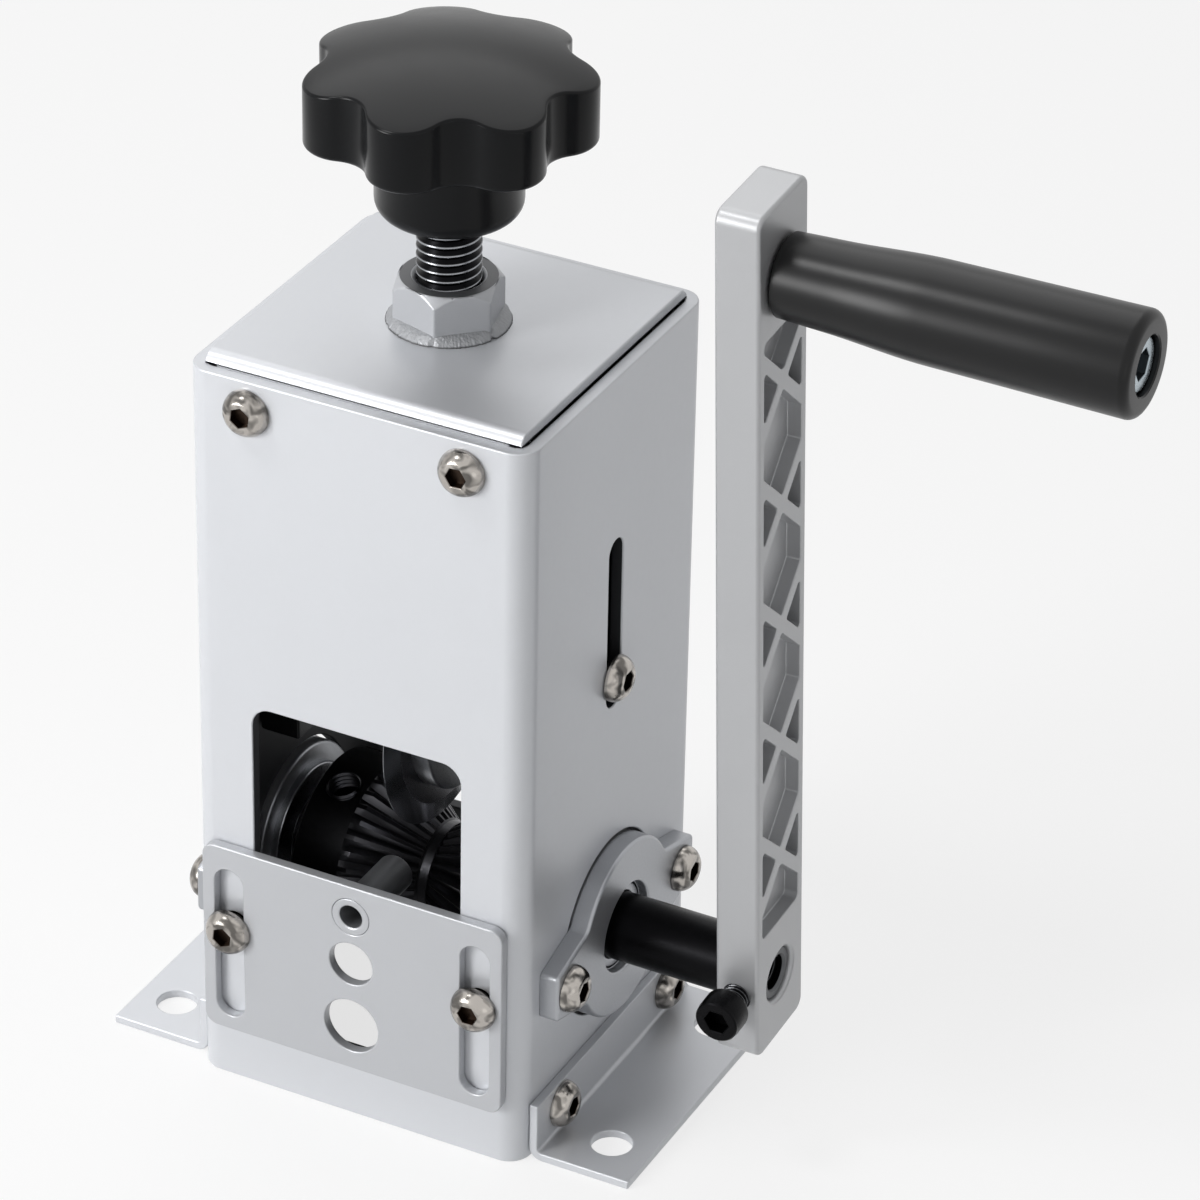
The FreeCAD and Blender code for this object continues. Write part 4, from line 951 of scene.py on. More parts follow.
class WIRESTRIPPER_OT_bearing_housings(bpy.types.Operator):
    """Two-eared bearing housings with their pressed-in bearings"""
    bl_idname = "wirestripper.bearing_housings"
    bl_label = "Bearing Housings"

    def execute(self, context):
        wall = span("housing_tube", "x")[1]
        inside, face = span("bearing_housing_right", "x")
        lip = span("bearing_outer_rings", "x")[1]
        seat_r, boss_r, mouth_r = 16.02, 20.3, 10.25
        plate = soft_slab(flange_outline(), wall, face, "x", 0.0, 0.8)
        mouth = lathe([(wall - 2, 0), (wall - 2, mouth_r), (face - 0.5, mouth_r), (face + 0.5, mouth_r + 1),
                       (face + 0.5, 0)], 96)
        bore = lathe([(wall - 1, 0), (wall - 1, seat_r), (lip, seat_r), (lip, 0)], 96)
        holes = [slab(circle(screw_hole_r, y, shaft_z), wall - 1, face + 1, "x")
                 for y in both_ways(bearing_screw_y)]
        boss = lathe(rounded([(inside, seat_r), (wall + 0.3, seat_r), (wall + 0.3, boss_r),
                              (inside, boss_r, 0.6)]), 128, wrap=True)
        for name, flip in SIDES:
            on_shaft = flip @ along_x(shaft_z)
            piece = make_object("flange_" + name, moved(plate, flip))
            carve(piece, moved(bore, on_shaft), *[moved(hole, flip) for hole in holes])
            carve(piece, moved(mouth, on_shaft))
            ease(piece, 0.15)
            finish_piece(piece, "housing", "bearing_housing_zinc", zinc_cast_steel(),
                         "bearing_housing_" + name)
            turned_piece("flange_boss_" + name, moved(boss, on_shaft), "housing", "bearing_housing_zinc",
                         zinc_cast_steel())
        # The outer ring with the shields that it holds, and the inner ring
        near = lip - 9
        ring_r, race_r, shield_r, shield = 16.0, 13.7, 9.9, 0.8
        inner_r, bore_r = 9.5, 7.52
        outer = [(near, ring_r, 0.6), (lip, ring_r, 0.6), (lip, 14.2), (lip - 0.3, 14.0), (lip - 0.3, 13.5),
                 (lip - 0.05, 13.3), (lip - 0.05, shield_r, 0.15), (lip - shield, shield_r),
                 (lip - shield, race_r), (near + shield, race_r), (near + shield, shield_r),
                 (near, shield_r, 0.15)]
        inner = [(near, bore_r, 0.5), (near, inner_r, 0.3), (lip, inner_r, 0.3), (lip, bore_r, 0.5)]
        for name, corners, body in (("outer", outer, "housing"), ("inner", inner, "drive")):
            ring = moved(lathe(rounded(corners), 128, wrap=True), along_x(shaft_z))
            both = copies(ring, (Matrix(), MIRROR_X))
            turned_piece("bearings_" + name, both, body, "bearing_steel", ground_steel(),
                         f"bearing_{name}_rings")
        return {"FINISHED"}


def arc_through(first, middle, last, steps):
    """Points of the arc through three points (a, b)."""
    ax, ay = first
    bx, by = middle
    cx, cy = last
    d = 2 * (ax * (by - cy) + bx * (cy - ay) + cx * (ay - by))
    a2, b2, c2 = ax * ax + ay * ay, bx * bx + by * by, cx * cx + cy * cy
    centre = Vector(((a2 * (by - cy) + b2 * (cy - ay) + c2 * (ay - by)) / d,
                     (a2 * (cx - bx) + b2 * (ax - cx) + c2 * (bx - ax)) / d))
    start = Vector(first) - centre
    return swept(centre, start, start.angle_signed(Vector(last) - centre), steps)


def socket_rows(across_flats, top, depth, steps, lead=0.22):
    """Rows of a hexagon socket, from the head's face down to its drilled floor."""
    radii = hex_radii(across_flats, steps)
    return [
        (top, [r + lead for r in radii]),
        (top - lead, radii),
        (top - depth, radii),
        (top - depth, [r * 0.86 for r in radii]),
        (top - depth - 0.25, 0),
    ]


def button_screw(grip, threaded=7.0):
    """A button-head screw with its seat at the origin and its shank down -Z, threaded at the end."""
    steps = 72
    shank_r, core_r = 2.94, 2.45
    dome = arc_through((0.15, 5.25), (2.05, 4.65), (button_height, 3.2), 12)
    rows = [(-grip, 0), (-grip, 2.1), (0.4 - grip, core_r), (threaded - grip, core_r),
            (threaded - grip, shank_r), (0, shank_r), (0, 5.1)] + dome
    head = lathe(rows + socket_rows(4, button_height, 1.9, steps), steps)
    skin = thread(-grip - 0.5, threaded - grip + 1.0, shank_r - 0.01, core_r - 0.05,
                  setting("screw_pitch"), 32)
    low = -grip + 0.1
    skin = ([Vector((p.x, p.y, max(p.z, low))) for p in skin[0]], skin[1])
    return join(head, skin)


def button_screws(name, grip, placements, body, node):
    """A group of button-head screws, with their sockets marked for the oxide."""
    screws = make_object(name, copies(button_screw(grip), placements))
    mark_sockets(screws, placements, *button_socket)
    finish_piece(screws, body, "stainless", polished_stainless(), node, sharp=32.0)


class WIRESTRIPPER_OT_screws(bpy.types.Operator):
    """Button-head screws and nuts on the housing's walls and the carriage"""
    bl_idname = "wirestripper.screws"
    bl_label = "Screws and Nuts"

    def execute(self, context):
        wall = span("housing_tube", "x")[1]
        inner = wall - tube_wall
        flange = span("bearing_housing_right", "x")[1]
        left_right = ((-1, 0, 0), (1, 0, 0))
        front_back = ((0, -1, 0), (0, 1, 0))
        nut_height = 5
        nut = turned_hexagon(10, -nut_height, 0, face_r=4.75, angle=30, bore_r=3.02, relief=0.35,
                             low_chamfer=True)
        # Name, outward ways, second place of a pair, where head and nut sit, tail past the nut, nut's turn
        groups = (
            ("top_plate", front_back, (top_screw_x, 0, top_screw_z), wall, inner - 2.5, 1.2, 0),
            ("bearing_housing", left_right, (0, bearing_screw_y, shaft_z), flange, inner, 1.2, 30),
            ("bracket", left_right, (0, bracket_screw_y, bracket_screw_z), wall + 2, inner, 1.2, 0),
            ("feed_plate", front_back[:1], (feed_screw_x, 0, shaft_z), wall + 2.7, inner, 0.0, 0),
        )
        for name, ways, (x, y, z), head_at, nut_at, tail, turn in groups:
            heads = []
            nuts = []
            nut_turn = Matrix.Rotation(math.radians(turn + 30), 4, "Z")
            for outward in ways:
                for place in (Vector((-x, -y, z)), Vector((x, y, z))):
                    head_turn = Matrix.Rotation(0.7 * len(heads) + 0.4, 4, "Z")
                    heads.append(facing(place + Vector(outward) * head_at, outward) @ head_turn)
                    nuts.append(facing(place + Vector(outward) * nut_at, outward) @ nut_turn)
            button_screws(name + "_button_screws", head_at - nut_at + nut_height + tail, heads, "housing",
                          name + "_screws")
            turned_piece(name + "_hex_nuts", copies(nut, nuts), "housing", "stainless",
                         polished_stainless(), name + "_nuts")
        shank = 12.1
        seat = span("guide_screws", "x")[1] - button_height
        heads = [facing(Vector((side * seat, 0, guide_screw_z)), (side, 0, 0)) for side in (-1, 1)]
        button_screws("carriage_guides", shank, heads, "carriage", "guide_screws")
        return {"FINISHED"}


class WIRESTRIPPER_OT_feed_plate(bpy.types.Operator):
    """Slotted feed plate with its wire guide tube"""
    bl_idname = "wirestripper.feed_plate"
    bl_label = "Feed Plate"

    def execute(self, context):
        half = span("feed_plate", "x")[1]
        low, high = span("feed_plate", "z")
        front, back = span("feed_plate", "y")
        plate = slab(rounded(box_outline(-half, half, low, high, 3.0), 8), front, back, "y")
        ends = (front - 1, back + 1)
        slot_half, slot_low, slot_high = 3.5, 17.5, 55.5
        cuts = []
        for x in both_ways(feed_screw_x):
            slot = box_outline(x - slot_half, x + slot_half, slot_low, slot_high, slot_half - 0.001)
            cuts.append(slab(rounded(slot, 12), *ends, "y"))
        # Radius and height of the holes for the guide tube and for two thicker wires
        wire_holes = ((4.47, guide_hole_z), (5.2, 41.2), (6.55, 25.1))
        cuts += [slab(circle(radius, 0, z, 72), *ends, "y") for radius, z in wire_holes]
        piece = lacquered("slotted_plate", plate, cuts)
        finish_piece(piece, "feed_plate", "feed_plate_paint", lacquered_plate(), "feed_plate")
        tip = span("guide_tube", "y")[1]
        bore_r, tube_r, collar_r = 2.7, 4.2, 4.45
        corners = [(front, bore_r, 0.5), (front, collar_r, 0.2), (back, collar_r), (back, tube_r),
                   (tip, tube_r, 0.5), (tip, bore_r, 0.3)]
        placement = facing(Vector((0, 0, guide_hole_z)), (0, 1, 0))
        turned_piece("wire_guide", moved(lathe(rounded(corners), 72, wrap=True), placement), "feed_plate",
                     "guide_tube_steel", faced_tube_steel(), "guide_tube")
        return {"FINISHED"}


class WIRESTRIPPER_OT_carriage(bpy.types.Operator):
    """Yoke, axle, spacers and thrust washer that carry the blade"""
    bl_idname = "wirestripper.carriage"
    bl_label = "Blade Carriage"

    def execute(self, context):
        half = span("carriage_yoke", "x")[1]
        low, high = span("carriage_yoke", "z")
        reach = span("carriage_yoke", "y")[1]
        leg = half - 9.5
        bridge = high - 12
        axle_hole_r, spindle_hole_r, guide_hole_r = 5.02, 5.08, 3.05
        block = slab(rounded(box_outline(-half, half, low, high, 1.0), 4), -reach, reach, "y")
        yoke = make_object("yoke", block)
        throat = rounded(box_outline(-leg, leg, low - 10, bridge, 4.0), 8)
        carve(yoke, slab(throat, -reach - 1, reach + 1, "y"))
        cuts = [slab(circle(axle_hole_r, 0, axle_z), -half - 1, half + 1, "x"),
                slab(circle(spindle_hole_r), bridge - 1, high + 1)]
        for side in (-1, 1):
            ends = on_side(side, leg - 1, half + 1)
            cuts.append(slab(circle(guide_hole_r, 0, guide_screw_z), *ends, "x"))
        carve(yoke, *cuts)
        ease(yoke, 0.5)
        finish_piece(yoke, "carriage", "yoke_aluminium", black_anodised_aluminium(), "carriage_yoke")

        on_axle = along_x(axle_z)
        axle_r, spacer_r, ring_r = 5.0, 7.52, 11
        end = span("cutter_axle", "x")[1]
        rows = rounded([(-end, 0), (-end, axle_r, 0.5), (end, axle_r, 0.5), (end, 0)], closed=False)
        turned_piece("blade_axle", moved(lathe(rows, 64), on_axle), "carriage", "axle_steel",
                     ground_steel(), "cutter_axle")
        tubes = []
        for near, far in ((6.0, leg), (-leg, -5.8)):
            rows = rounded([(near, axle_hole_r, 0.3), (near, spacer_r, 0.4), (far, spacer_r, 0.4),
                            (far, axle_hole_r, 0.3)])
            tubes.append(moved(lathe(rows, 64, wrap=True), on_axle))
        turned_piece("spacer_tubes", join(*tubes), "carriage", "spacer_steel", dull_turned_steel(),
                     "axle_spacers")
        base, top = span("thrust_washer", "z")
        rows = rounded([(base, spindle_hole_r, 0.2), (base, ring_r, 0.3), (top, ring_r, 0.3),
                        (top, spindle_hole_r, 0.2)])
        turned_piece("thrust_ring", lathe(rows, 72, wrap=True), "carriage", "bronze", sintered_bronze(),
                     "thrust_washer")
        return {"FINISHED"}


class WIRESTRIPPER_OT_blade(bpy.types.Operator):
    """Ground round blade on its hub, with clamp ring and bush"""
    bl_idname = "wirestripper.blade"
    bl_label = "Round Blade"

    def execute(self, context):
        radius = (span("cutter_blade", "z")[1] - span("cutter_blade", "z")[0]) / 2
        bevel_r = radius - 5
        blade_half, left, right = 1.5, -5.5, 5.7
        bore_r, bush_r, hub_r, flange_r, ring_r = 5.06, 8.0, 10.0, 19.0, 15.0
        eye_r = hub_r + 0.05
        parts = (
            ("round_blade", [(-blade_half, eye_r), (-blade_half, bevel_r, 0.3), (-0.05, radius),
                             (0.05, radius), (blade_half, bevel_r, 0.3), (blade_half, eye_r)],
             "blade_steel", blade_steel(), "cutter_blade"),
            ("flanged_hub", [(left, bush_r, 0.3), (left, hub_r, 0.3), (blade_half, hub_r),
                             (blade_half, flange_r), (right, flange_r, 0.7), (right, bush_r, 0.3)],
             "hub_steel", ground_steel(), "blade_hub"),
            ("clamp_ring", [(left, eye_r, 0.3), (left, ring_r, 0.6), (-blade_half, ring_r),
                            (-blade_half, eye_r)],
             "hub_steel", ground_steel(), "blade_clamp_ring"),
            ("bronze_bush", [(left, bore_r, 0.3), (left, bush_r - 0.02), (right, bush_r - 0.02),
                             (right, bore_r, 0.3)],
             "bronze", sintered_bronze(), "hub_bush"),
        )
        for name, corners, slot, material, node in parts:
            shape = moved(lathe(rounded(corners, 3), 192, wrap=True), along_x(axle_z))
            sharp = 12.0 if node == "cutter_blade" else 32.0
            turned_piece(name, shape, "cutter", slot, material, node, sharp=sharp)
        return {"FINISHED"}


def open_ring(inner, outer, mouth, middle, steps=48):
    """Outline of a spring ring with a mouth, centred on a direction in degrees."""
    outside = math.degrees(math.asin(mouth / 2 / outer))
    inside = math.degrees(math.asin(mouth / 2 / inner))
    around = circle(outer, 0, 0, steps, middle + outside, 360 - 2 * outside)
    return around + circle(inner, 0, 0, steps, middle + inside, 360 - 2 * inside)[::-1]


class WIRESTRIPPER_OT_spindle(bpy.types.Operator):
    """Threaded pressure spindle with its clip"""
    bl_idname = "wirestripper.spindle"
    bl_label = "Threaded Spindle"

    def execute(self, context):
        foot, top = span("threaded_spindle", "z")
        crest = span("threaded_spindle", "x")[1] - 0.02
        root = crest - setting("spindle_thread")
        stem_r, groove_r = 5.0, 4.4
        groove_low, groove_high, shoulder = 116.5, 117.7, 132.1
        thread_low, thread_high = 136.5, 204
        corners = [(foot, 0), (foot, stem_r, 0.5), (groove_low, stem_r), (groove_low, groove_r),
                   (groove_high, groove_r), (groove_high, stem_r), (shoulder, stem_r),
                   (shoulder, crest, 0.5), (thread_low - 1, crest), (thread_low, root), (thread_high, root),
                   (thread_high + 1, crest), (top, crest), (top, 0)]
        core = lathe(rounded(corners, closed=False), 72)
        skin = thread(thread_low - 3, thread_high + 2.5, crest, root, setting("spindle_pitch"), 72)
        turned_piece("spindle", join(core, skin), "knob", "black_oxide_spindle", black_oxide_thread(),
                     "threaded_spindle", sharp=60.0)
        low, high = span("spindle_clip", "z")
        ring = open_ring(inner=4.42, outer=7.5, mouth=3.0, middle=90)
        clip = make_object("spindle_ring", slab(ring, low, high))
        ease(clip, 0.12)
        finish_piece(clip, "knob", "spring_steel", phosphated_spring_steel(), "spindle_clip")
        return {"FINISHED"}


def star_outline(steps=12):
    """Seven round lobes joined by hollows, each arc tangent to the next."""
    lobes, lobe_r, valley = 7, 8.7, 25.35
    step = math.pi / lobes
    at = star_tip - lobe_r
    c = math.cos(step)
    hollow = at * at + valley * valley - 2 * at * valley * c - lobe_r ** 2
    hollow /= 2 * (lobe_r - valley + at * c)
    path = []
    for k in range(lobes):
        turn = math.radians(19.3) + 2 * step * k
        lobe = Vector((at * math.cos(turn), at * math.sin(turn)))
        left = Vector((math.cos(turn + step), math.sin(turn + step))) * (valley + hollow)
        across = left - lobe
        swing = math.atan2(across.y, across.x) - turn
        swing = (swing + math.pi) % (2 * math.pi) - math.pi
        path += circle(lobe_r, *lobe, 2 * steps, math.degrees(turn - swing), math.degrees(2 * swing))
        # The hollow turns back from the lobe's end to its middle, and as far again.
        middle = turn + step + math.pi
        start = turn + swing + math.pi
        back = (middle - start + math.pi) % (2 * math.pi) - math.pi
        path += circle(hollow, *left, steps, math.degrees(start), math.degrees(2 * back))[1:-1]
    return path


class WIRESTRIPPER_OT_knob(bpy.types.Operator):
    """Moulded seven-lobed star knob with a crowned top"""
    bl_idname = "wirestripper.knob"
    bl_label = "Star Knob"

    def execute(self, context):
        bottom, top = span("knob_head", "z")
        star_bottom = bottom + 18.2
        rim = star_bottom + 13.6
        outline = star_outline()
        edge = setting("knob_edge")
        crown = top - rim
        sphere = (star_tip * star_tip + crown * crown) / (2 * crown)

        def crowned(ring, drop):
            points = []
            for a, b in ring:
                height = top - sphere + math.sqrt(sphere * sphere - a * a - b * b) - drop
                points.append(Vector((a, b, height)))
            return points

        # The bore's mouth, the hub with its round foot, and the fillet under the star
        bore_r = 6.95
        hub = [(bottom + 2, bore_r), (bottom + 0.4, bore_r), (bottom, bore_r + 0.4), (bottom, 9.5)]
        hub += [(bottom + 4 - 4 * math.cos(t), 11.5 + 4 * math.sin(t)) for t in quarter_turn(8)]
        hub += [(star_bottom - 1.2, 15.5), (star_bottom - 0.35, 15.85), (star_bottom, 16.7)]
        turns = [math.atan2(b, a) for a, b in outline]
        rings = [[Vector((radius * math.cos(t), radius * math.sin(t), height)) for t in turns]
                 for height, radius in hub]
        under = 1.2
        for turn in quarter_turn(5):
            ring = inset(outline, under * (1 - math.sin(turn)))
            rings.append([Vector((a, b, star_bottom + under * (1 - math.cos(turn)))) for a, b in ring])
        for turn in quarter_turn(7):
            rings.append(crowned(inset(outline, edge * (1 - math.cos(turn))), edge * (1 - math.sin(turn))))
        # Inwards the lobes fade into circles.
        last = inset(outline, edge)
        mean_r = 27.5
        for share in (0.93, 0.85, 0.72, 0.58, 0.44, 0.3, 0.16):
            blend = min(1.0, (1 - share) * 1.6)
            ring = []
            for (a, b), t in zip(last, turns):
                radius = math.hypot(a, b) * (1 - blend) + mean_r * blend
                ring.append((radius * share * math.cos(t), radius * share * math.sin(t)))
            rings.append(crowned(ring, 0))
        rings.append([Vector((0, 0, top))])
        turned_piece("star_knob", stack(rings), "knob", "knob_plastic", moulded_phenolic(), "knob_head",
                     sharp=50.0)
        return {"FINISHED"}


class WIRESTRIPPER_OT_shaft(bpy.types.Operator):
    """Blackened drive shaft with its circlips"""
    bl_idname = "wirestripper.shaft"
    bl_label = "Drive Shaft"

    def execute(self, context):
        left, tip = span("drive_shaft", "x")
        shoulder = span("crank_arm", "x")[0]
        near, far = 32.2, 33.4
        groove_r, arm_seat_r, tapped_r = shaft_r - 0.5, 6.0, 3.96
        floor = tip - 14
        corners = [(left, 0), (left, shaft_r, 0.6), (-far, shaft_r), (-far, groove_r), (-near, groove_r),
                   (-near, shaft_r), (near, shaft_r), (near, groove_r), (far, groove_r), (far, shaft_r),
                   (shoulder, shaft_r), (shoulder, arm_seat_r), (tip, arm_seat_r, 0.5), (tip, 4.4),
                   (tip - 0.5, tapped_r), (floor, tapped_r), (floor - 1.5, 0)]
        core = lathe(rounded(corners, closed=False), 96)
        skin = thread(floor + 0.5, tip - 0.7, 3.4, tapped_r - 0.01, tapped_pitch, 48)
        shaft = make_object("shaft", moved(join(core, skin), along_x(shaft_z)))
        mark(shaft, "crest", lambda p: p.x > floor and math.hypot(p.y, p.z - shaft_z) < 3.5)
        finish_piece(shaft, "drive", "black_oxide_shaft", black_oxide_shaft(), "drive_shaft", sharp=32.0)
        ring = open_ring(inner=7.02, outer=9.8, mouth=7.0, middle=270)
        clip = slab([(a, b + shaft_z) for a, b in ring], near, far, "x")
        clips = make_object("shaft_rings", copies(clip, (Matrix(), MIRROR_X)))
        ease(clips, 0.12)
        finish_piece(clips, "drive", "spring_steel", phosphated_spring_steel(), "shaft_circlips")
        return {"FINISHED"}


class WIRESTRIPPER_OT_roller(bpy.types.Operator):
    """Feed roller whose V groove is toothed down both flanks"""
    bl_idname = "wirestripper.roller"
    bl_label = "Feed Roller"

    def execute(self, context):
        teeth = 36
        pitch = 2 * math.pi / teeth
        bore_r = shaft_r + 0.05
        rim = Vector((14.0, 21.0))
        root = Vector((1.0, 11.5))
        down = (root - rim).normalized()
        inward = Vector((-down.y, down.x))
        gap = rim + inward * 1.3
        hub_middle = Vector((-21.5, 0, shaft_z))
        holes = []
        for turn in (math.radians(110), math.radians(290)):
            holes.append(facing(hub_middle, (0, math.cos(turn), math.sin(turn))))

        def plain(along, radius):
            """A row with no teeth."""
            return (Vector((along, radius)),) * 2

        # A tooth's four points, by place and depth: mid crest, then the gap's edge, bottom and edge
        half_gap = 0.36
        stations = ((-0.5, 0.0), (-half_gap, 0.0), (0.0, 1.0), (half_gap, 0.0))
        for name, side in (("left", -1), ("right", 1)):
            node = "feed_roller_" + name
            end = abs(span(node, "x")[0 if side < 0 else 1])
            near = root - down * 0.6
            # Each row has the crest and the bottom of the gap beside it, from the bore round to the bore.
            halfway = (near + rim) / 2
            rows = [plain(0, bore_r), plain(0, root.y), (root, root), (near, near),
                    (near, near + inward * 0.5), (halfway, halfway + inward * 0.95), (rim, gap)]
            if side < 0:
                out = gap - down * ((rim.y - gap.y) / -down.y)
                rows += [plain(out.x, rim.y), plain(end - 0.8, rim.y), plain(end, rim.y - 0.8)]
            else:
                end = 15.0
                cut = gap - down * ((end - gap.x) / -down.x)
                rows.append((Vector((end, rim.y)), Vector((end, min(cut.y, 20.9)))))
            rows.append(plain(end, bore_r))
            rings = []
            for crest, bottom in rows:
                ring = []
                for k in range(teeth):
                    for offset, deep in stations:
                        angle = (k + 0.5 + offset) * pitch
                        along, radius = crest.lerp(bottom, deep)
                        ring.append(Vector((side * along, -radius * math.sin(angle),
                                            radius * math.cos(angle) + shaft_z)))
                rings.append(ring)
            piece = make_object("roller_" + name, stack(rings, wrap=True))
            if side < 0:
                drill = lathe([(6, 0), (6, 4), (23, 4), (23, 0)], 48)
                carve(piece, copies(drill, holes))

            def on_crest(place):
                flank = root.y + (abs(place.x) - root.x) * (rim.y - root.y) / (rim.x - root.x)
                return 1.5 < abs(place.x) < 15 and math.hypot(place.y, place.z - shaft_z) > flank - 0.15

            mark(piece, "crest", on_crest)
            finish_piece(piece, "drive", "roller_steel", roller_steel(), node, sharp=25.0)
        end = 15.55
        rows = [(bore_r, 0), (bore_r, 2.4), (8.4, 3.5), (9.0, 3.95), (end - 0.35, 3.95), (end, 3.6)]
        screw = lathe(rows + socket_rows(4, end, 3.5, 72), 72)
        turned_piece("grub_screws", copies(screw, holes), "drive", "black_oxide_shaft", black_oxide_steel(),
                     "roller_set_screws")
        tapped = thread(end + 0.25, 22.0, 3.55, 4.02, tapped_pitch, 48)
        turned_piece("tapped_holes", copies(tapped, holes), "drive", "roller_steel", roller_steel())
        return {"FINISHED"}


arm_half = 11


def lattice_outlines():
    """Outlines of the pockets between the arm's rails and its crossed struts, from the shaft upward."""
    rail, strut, corner_r = 2.4, 3, 0.7
    first, step = 31.9, 29.6
    wide = arm_half - rail
    notch = strut / math.sqrt(2)
    crosses = [first + step * k for k in range(5)]
    outlines = []
    for z in crosses:
        for side in (-1, 1):
            edge = side * wide
            foot, head = z - wide + notch, z + wide - notch
            outlines.append(([(edge, foot), (edge, head), (side * notch, z)], corner_r))
    for low, high in zip(crosses, crosses[1:]):
        foot, head = low + notch + wide, high - notch - wide
        outlines.append(([(0, low + notch), (wide, foot), (wide, head), (0, high - notch), (-wide, head),
                          (-wide, foot)], corner_r))
    # The end pockets stop short of the shaft's and the bolt's bosses.
    for z, way, stop in ((crosses[0], -1, 14.9), (crosses[-1], 1, crosses[-1] + 13.0)):
        shoulder = z + way * (notch + wide)
        outlines.append(([(0, z + way * notch), (wide, shoulder), (wide, stop), (-wide, stop),
                          (-wide, shoulder)], 2 * corner_r))
    return outlines


class WIRESTRIPPER_OT_crank(bpy.types.Operator):
    """Crank arm with its lattice of pockets, clamp screw and grip bolt"""
    bl_idname = "wirestripper.crank"
    bl_label = "Crank Arm"

    def execute(self, context):
        inner, outer = span("crank_arm", "x")
        below_shaft, past_grip, pocket_depth = 16, 17.5, 3.3
        low = shaft_z - below_shaft
        high = shaft_z + crank_radius + past_grip
        edge = setting("arm_edge")
        outline = rounded(box_outline(-arm_half, arm_half, low, high, 3.0), 8)
        arm = make_object("lattice_arm", soft_slab(outline, inner, outer, "x", edge, edge))
        pockets = []
        for corners, radius in lattice_outlines():
            outline = rounded([(a, b + shaft_z, radius) for a, b in corners], 5)
            pockets.append(slab(outline, outer - pocket_depth, outer + 1, "x"))
        carve(arm, *pockets)
        grip_z = shaft_z + crank_radius
        shaft_hole_r, bolt_hole_r, clamp_hole_r = 6.02, 4.02, 3.05
        bore = lathe([(inner - 1, 0), (inner - 1, shaft_hole_r), (outer - 0.9, shaft_hole_r),
                      (outer + 0.2, shaft_hole_r + 1.1), (outer + 0.2, 0)])
        bolt_hole = slab(circle(bolt_hole_r, 0, grip_z), inner - 1, outer + 1, "x")
        carve(arm, moved(bore, along_x(shaft_z)), bolt_hole)
        middle = (inner + outer) / 2
        carve(arm, slab(circle(clamp_hole_r, middle, shaft_z), -arm_half - 1, -5.9, "y"))
        ease(arm, setting("pocket_edge"))
        arm.data.transform(Matrix.Translation((0, 0, shaft_z * MM)) @ Matrix.Rotation(crank_lean, 4, "X")
                           @ Matrix.Translation((0, 0, -shaft_z * MM)))
        finish_piece(arm, "drive", "arm_aluminium", blasted_aluminium(), "crank_arm")

        steps = 144
        ridge = [5.0 if i % 2 else 4.93 for i in range(steps)]
        seat, top = 15, 21.0
        rows = [(6.05, 0), (6.05, 2.4), (seat, 2.4), (seat, 4.7), (seat + 0.3, 4.9), (seat + 0.6, ridge),
                (top - 1.4, ridge), (top - 1, 4.9), (top - 0.3, 4.85), (top, 4.55)]
        screw = lathe(rows + socket_rows(5, top, 3.0, steps), steps)
        skin = thread(5.6, 15.6, 2.95, 2.4, setting("screw_pitch"), 48)
        placement = crank_turn() @ facing(Vector((middle, 0, shaft_z)), (0, -1, 0))
        screw = make_object("arm_clamp_screw", moved(join(screw, skin), placement))
        back = placement.inverted()
        mark(screw, "crest", lambda p: 5 < (back @ p).z < 14.9 and (back @ p).xy.length > 2.9)
        finish_piece(screw, "drive", "black_oxide_shaft", black_oxide_steel(), "clamp_screw", sharp=32.0)

        start, top = span("grip_axle", "x")
        seat = top - 3.6
        bolt_r, head_r = 4.0, 5.8
        corners = [(start, 0), (start, bolt_r, 0.5), (seat, bolt_r), (seat, head_r, 0.2),
                   (top, head_r, 0.6), (top, 4.2)]
        bolt = lathe(rounded(corners, closed=False) + socket_rows(6, top, 2.6, 144), 144)
        placement = crank_turn() @ along_x(grip_z)
        bolt = make_object("grip_bolt", moved(bolt, placement))
        mark_sockets(bolt, [placement], 3.5, top - 2.9, top - 0.1)
        finish_piece(bolt, "drive", "zinc_bolt", blue_zinc_plate(), "grip_axle", sharp=32.0)
        return {"FINISHED"}


class WIRESTRIPPER_OT_grip(bpy.types.Operator):
    """Revolving grip that swells from its neck to the palm"""
    bl_idname = "wirestripper.grip"
    bl_label = "Grip"

    def execute(self, context):
        start, end = span("grip_sleeve", "x")
        waist, palm = start + 12, start + 32
        waist_r, palm_r, bore_r = 9.3, 10.6, 4.08
        run = palm - waist
        rows = [(end - 5, bore_r), (start, bore_r), (start, 8.3), (start + 0.5, 8.8), (start + 6, 9.04)]
        for k in range(17):
            t = k / 16
            swell = waist_r + (palm_r - waist_r) * t * t * (3 - 2 * t)
            swell += run * (0.05 * t * (1 - t) ** 2 - 0.02 * t * t * (1 - t))
            rows.append((waist + run * t, swell))
        rows.append(((palm + end) / 2, 10.83))
        rows += [(end - 2 + 2 * math.sin(t), 9.05 + 2 * math.cos(t)) for t in quarter_turn(8)]
        rows += [(end, 6.5), (end - 0.3, 6.2), (end - 5, 6.2)]
        sleeve = lathe(rows, 128, wrap=True)
        sleeve = moved(sleeve, crank_turn() @ along_x(shaft_z + crank_radius))
        turned_piece("grip", sleeve, "grip", "grip_plastic", moulded_polypropylene(), "grip_sleeve",
                     sharp=40.0)
        return {"FINISHED"}


